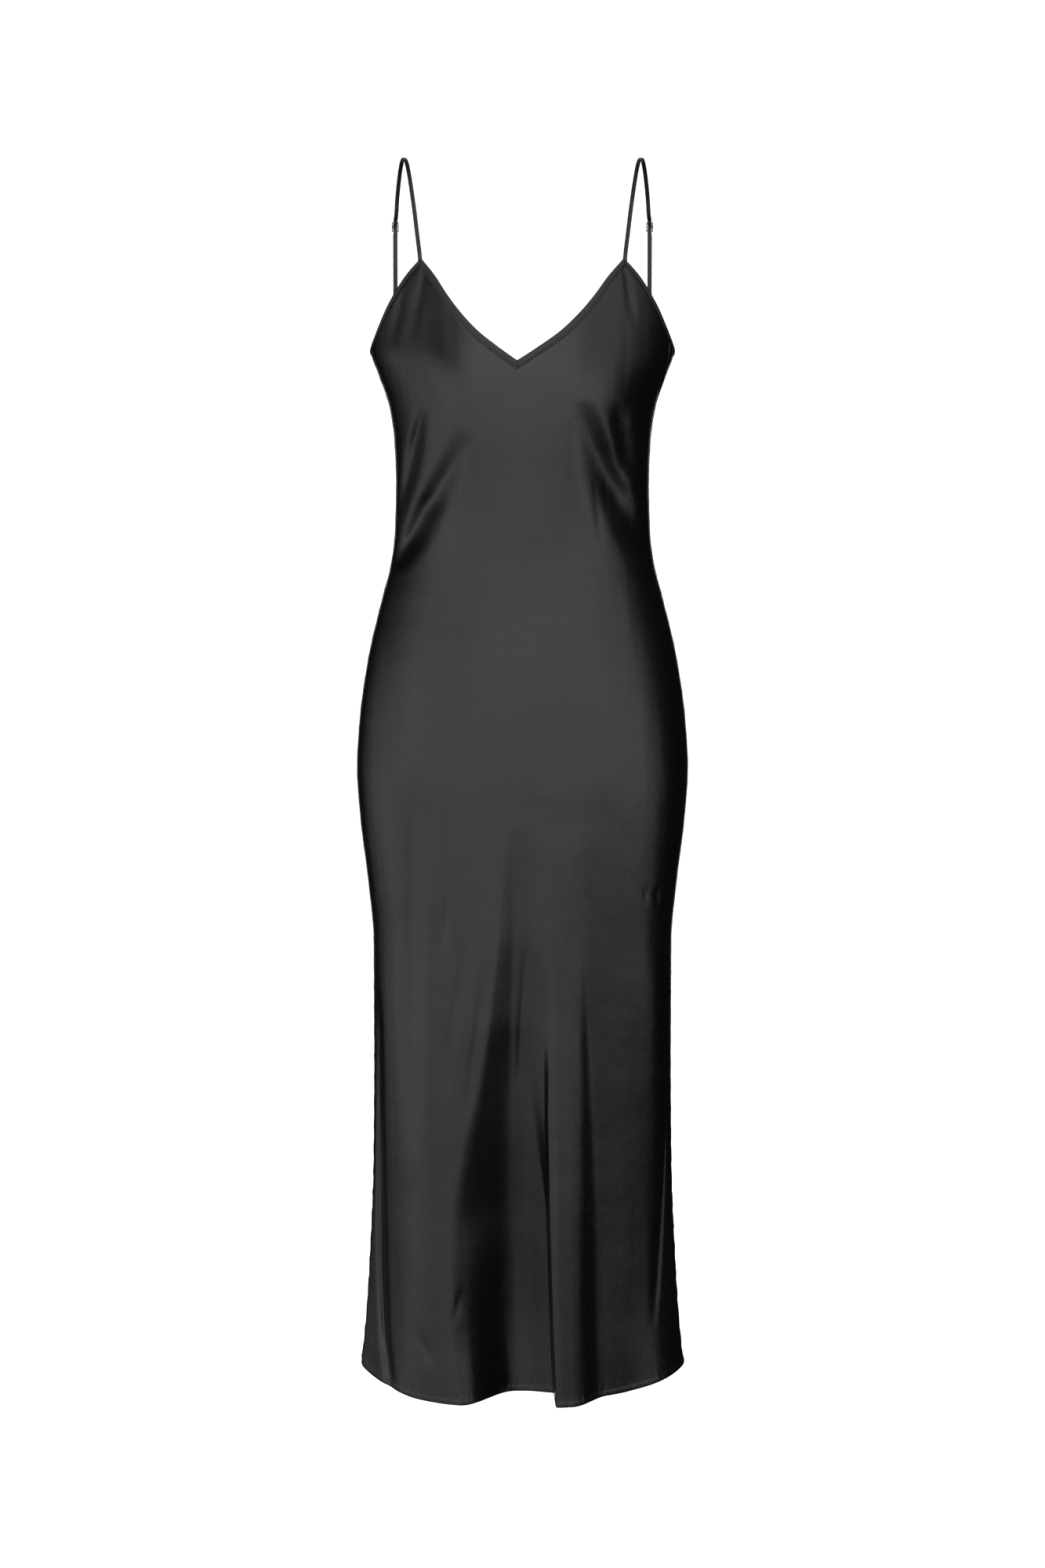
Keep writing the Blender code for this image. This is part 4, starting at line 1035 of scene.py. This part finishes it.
for side, word in ((-1, "left"), (1, "right")):
    along = strap_frame(side)
    centre = (0.0500 + 0.0026, SLIDER_Z)
    swing = 0.0009 / 2 + BAR / 2 + 0.0003 + 0.00005
    lift = SLIDER_HEIGHT / 2
    turn_radius = RING_WIRE + 0.0012 + 0.0009 / 2
    turn = (centre[0] + 0.0010, RING_TOP_Z)
    outer_p = centre[0] - swing
    path = [(q.p, q.z) for q in STRAP_RUN] + [
        (centre[0] - swing - 0.0007, centre[1] + lift + 0.0016),
        (centre[0] - swing, centre[1] + lift - BAR - 0.0002),
        (centre[0] + swing, centre[1] + BAR / 2 + 0.0001),
        (centre[0] + swing, centre[1] - BAR / 2 - 0.0001),
        (centre[0] - swing, centre[1] - lift + BAR + 0.0002),
        (centre[0] - swing, centre[1] - lift - 0.0003),
        (outer_p + 0.0004, -0.0850), (outer_p + 0.0007, -0.1050), (outer_p + 0.0008, -0.1280),
    ]
    path += arc(turn, turn_radius, 180, 360, 8)
    path += [(outer_p + 0.0028, -0.1330), (outer_p + 0.0024, -0.1100),
             (outer_p + 0.0022, -0.0860), (centre[0] + 0.0006, centre[1] - 0.0072)]
    strap = flat_tube(f"spaghetti_strap_{word}", rounded(path), STRAP_WIDTH, 0.0010, along, STRAP)
    ride(strap, "strap", f"strap_{word}")
    slider = slider_mesh(f"strap_slider_{word}", centre, along, ENAMEL)
    ride(slider, "hardware", f"slider_{word}")
    ring_centre = along(turn[0], RING_TOP_Z - RING_RADIUS, 0.0)
    edge_z = float(top_edge(BACK_POINT_ANGLE))
    tip = outward(side * BACK_POINT_ANGLE, edge_z - 0.004, detail=False)
    strap_way = np.array([side * STRAP_SLANT, 1.0, 0.0]) / run_scale
    tip_flat = np.array([tip[0], tip[1], 0.0]) / math.hypot(tip[0], tip[1])
    face_way = unit(strap_way + tip_flat)
    ring = torus(f"strap_ring_{word}", ring_centre, face_way, RING_RADIUS, RING_WIRE, ENAMEL)
    ride(ring, "hardware", f"ring_{word}")
    cloth = tube(side * BACK_POINT_ANGLE, edge_z - 0.006, detail=False)
    inside = 0.0012 / 2 + 0.0004 + 0.0007 + 0.0003
    width_way = np.cross((0, 0, 1), tip_flat)
    low = ring_centre - np.array([0, 0, RING_RADIUS])

    def tab_point(q, z, w, low=low, tip_flat=tip_flat, width_way=width_way):
        return np.array([low[0], low[1], z]) + tip_flat * q + width_way * w

    gap_to_cloth = float((cloth - low) @ tip_flat)
    near = gap_to_cloth - inside - 0.0009 - 0.00045
    far = near - 0.0009 - 0.0003 - 0.0002
    loop = RING_WIRE + 0.0012 + 0.00045
    tab = [(near - 0.0002, edge_z - 0.0110), (near - 0.0002, edge_z - 0.0020)]
    tab += [(max(near + 0.0004, loop * 0.9), low[2] - 0.0030)]
    tab += arc((0.0, low[2]), loop, 0, 180, 8)
    tab += [(min(far - 0.0004, -loop * 0.9), low[2] - 0.0030)]
    tab += [(far, edge_z - 0.0020), (far, edge_z - 0.0110)]
    tab = flat_tube(f"ring_loop_{word}", rounded(tab), 0.0040, 0.0010, tab_point, STRAP)
    ride(tab, "strap", f"ring_tab_{word}")

# ================================================================== riding, sheets
ride(neck_l, "binding", "neck_binding_left")
ride(neck_r, "binding", "neck_binding_right")
ride(arm_r, "binding", "armhole_binding_right")
ride(arm_l, "binding", "armhole_binding_left")
ride(back_top, "binding", "back_neck_binding")
ride(front, "satin")
ride(back, "satin")
for thread in threads:
    ride(thread, "binding")

# ================================================================= stage and light
def plain(name, colour, glow):
    m, t, shader = nodes_of(name)
    shader.inputs["Base Color"].default_value = (*colour, 1)
    shader.inputs["Roughness"].default_value = 0.9
    shader.inputs["Emission Color"].default_value = (1, 1, 1, 1)
    shader.inputs["Emission Strength"].default_value = glow
    return m


FLOOR_Z = -1.62
white = plain("studio_white", (0.8, 0.8, 0.8), 1.0)
sweep_points, sweep_faces = [(0, 0, FLOOR_Z)], []
TURNS = 72
profile = [(3.0, FLOOR_Z), (7.0, FLOOR_Z)]
profile += [(7.0 + 1.5 * math.sin(math.radians(a)), FLOOR_Z + 1.5 - 1.5 * math.cos(math.radians(a)))
            for a in range(10, 91, 10)]
profile += [(8.5 * math.cos(math.radians(a)), FLOOR_Z + 1.5 + 8.5 * math.sin(math.radians(a)))
            for a in range(6, 89, 6)]
for r, z in profile:
    for k in range(TURNS):
        turn = 2 * math.pi * k / TURNS
        sweep_points.append((r * math.sin(turn), -r * math.cos(turn), z))
for k in range(TURNS):
    following = (k + 1) % TURNS
    sweep_faces.append((0, 1 + k, 1 + following))
    for i in range(len(profile) - 1):
        sweep_faces.append((1 + i * TURNS + k, 1 + (i + 1) * TURNS + k,
                            1 + (i + 1) * TURNS + following, 1 + i * TURNS + following))
floor = make("studio_sweep", sweep_points, sweep_faces, white)
floor.visible_glossy = False
floor.visible_diffuse = False
floor.visible_shadow = False
floor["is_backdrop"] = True

world = bpy.data.worlds.new("studio")
scene.world = world
world.use_nodes = True
world.node_tree.nodes["Background"].inputs["Color"].default_value = (1, 1, 1, 1)
world.node_tree.nodes["Background"].inputs["Strength"].default_value = 0.012


# A wall of softboxes about the garment, in bands of degrees to the right of straight
# ahead. Each row of it has its lowest and highest degrees up, and a brightness in each
# band: it is dark high on the left and low on the right.
BANDS = (-123, -101, -79, -34, 11, 34, 79, 101)
bounces = bpy.context.scene.cycles
bounces.max_bounces, bounces.diffuse_bounces, bounces.glossy_bounces = 3, 2, 3
LightRow = namedtuple("LightRow", "low high glows")
SOFTBOXES = [
    LightRow(-50, -26, (0.0, 0.0, 0.5, 0.50, 0.10, 0.0, 0.0)),
    LightRow(-26, -18, (0.4, 1.0, 0.95, 0.95, 0.55, 0.03, 0.0)),
    LightRow(-18, -14, (0.4, 1.1, 1.05, 1.15, 1.20, 0.85, 0.0)),
    LightRow(-14, -2, (0.4, 1.2, 1.10, 1.20, 1.25, 1.55, 0.0)),
    LightRow(-2, 10, (0.3, 0.75, 1.65, 1.5, 1.5, 1.1, 0.0)),
    LightRow(10, 22, (0.0, 0.15, 0.85, 1.5, 1.5, 1.1, 0.0)),
    LightRow(22, 46, (0.0, 0.0, 0.0, 1.70, 1.05, 0.8, 0.6)),
    LightRow(46, 70, (0.0, 0.0, 0.9, 1.7, 1.1, 1.7, 1.5)),
]
# Plain softboxes behind it, in degrees round from straight ahead and up.
BackBox = namedtuple("BackBox", "left right low high glow")
BEHIND = [
    BackBox(164, 180, -34, 4, 1.1), BackBox(180, 196, -34, 4, 0.9),
    BackBox(164, 180, 4, 44, 1.3), BackBox(180, 196, 4, 44, 1.1),
]
REACH, POWER = 3.7, 1.43


def softbox(name, left, right, low, high, glow):
    a, e = math.radians((left + right) / 2), math.radians((low + high) / 2)
    data = bpy.data.lights.new(name, "AREA")
    data.shape = "RECTANGLE"
    data.size = 2 * REACH * math.tan(math.radians(right - left) / 2) * math.cos(e)
    data.size_y = 2 * REACH * math.tan(math.radians(high - low) / 2)
    data.energy = POWER * glow * math.pi * data.size * data.size_y
    obj = bpy.data.objects.new(name, data)
    scene.collection.objects.link(obj)
    way = Vector((math.sin(a) * math.cos(e), -math.cos(a) * math.cos(e), math.sin(e)))
    obj.location = Vector((0, 0, -0.65)) + way * REACH
    obj.rotation_euler = (-way).to_track_quat("-Z", "Y").to_euler()
    obj.visible_camera = False


for r, row in enumerate(SOFTBOXES):
    for k, glow in enumerate(row.glows):
        if glow:
            softbox(f"softbox_{r}_{k}", BANDS[k], BANDS[k + 1], row.low, row.high, glow)

for r, box in enumerate(BEHIND):
    softbox(f"softbox_behind_{r}", *box)

scene.view_settings.view_transform = "Standard"
scene.view_settings.look = "None"
scene.view_settings.gamma = 0.88

camera_data = bpy.data.cameras.new("camera")
camera_data.lens, camera_data.sensor_width = 72, 36
camera = bpy.data.objects.new("camera", camera_data)
scene.collection.objects.link(camera)
camera.location = (0, -3.1761, -0.2386)
camera.rotation_euler = (math.radians(90 - 7), 0, 0)
scene.camera = camera

low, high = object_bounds()
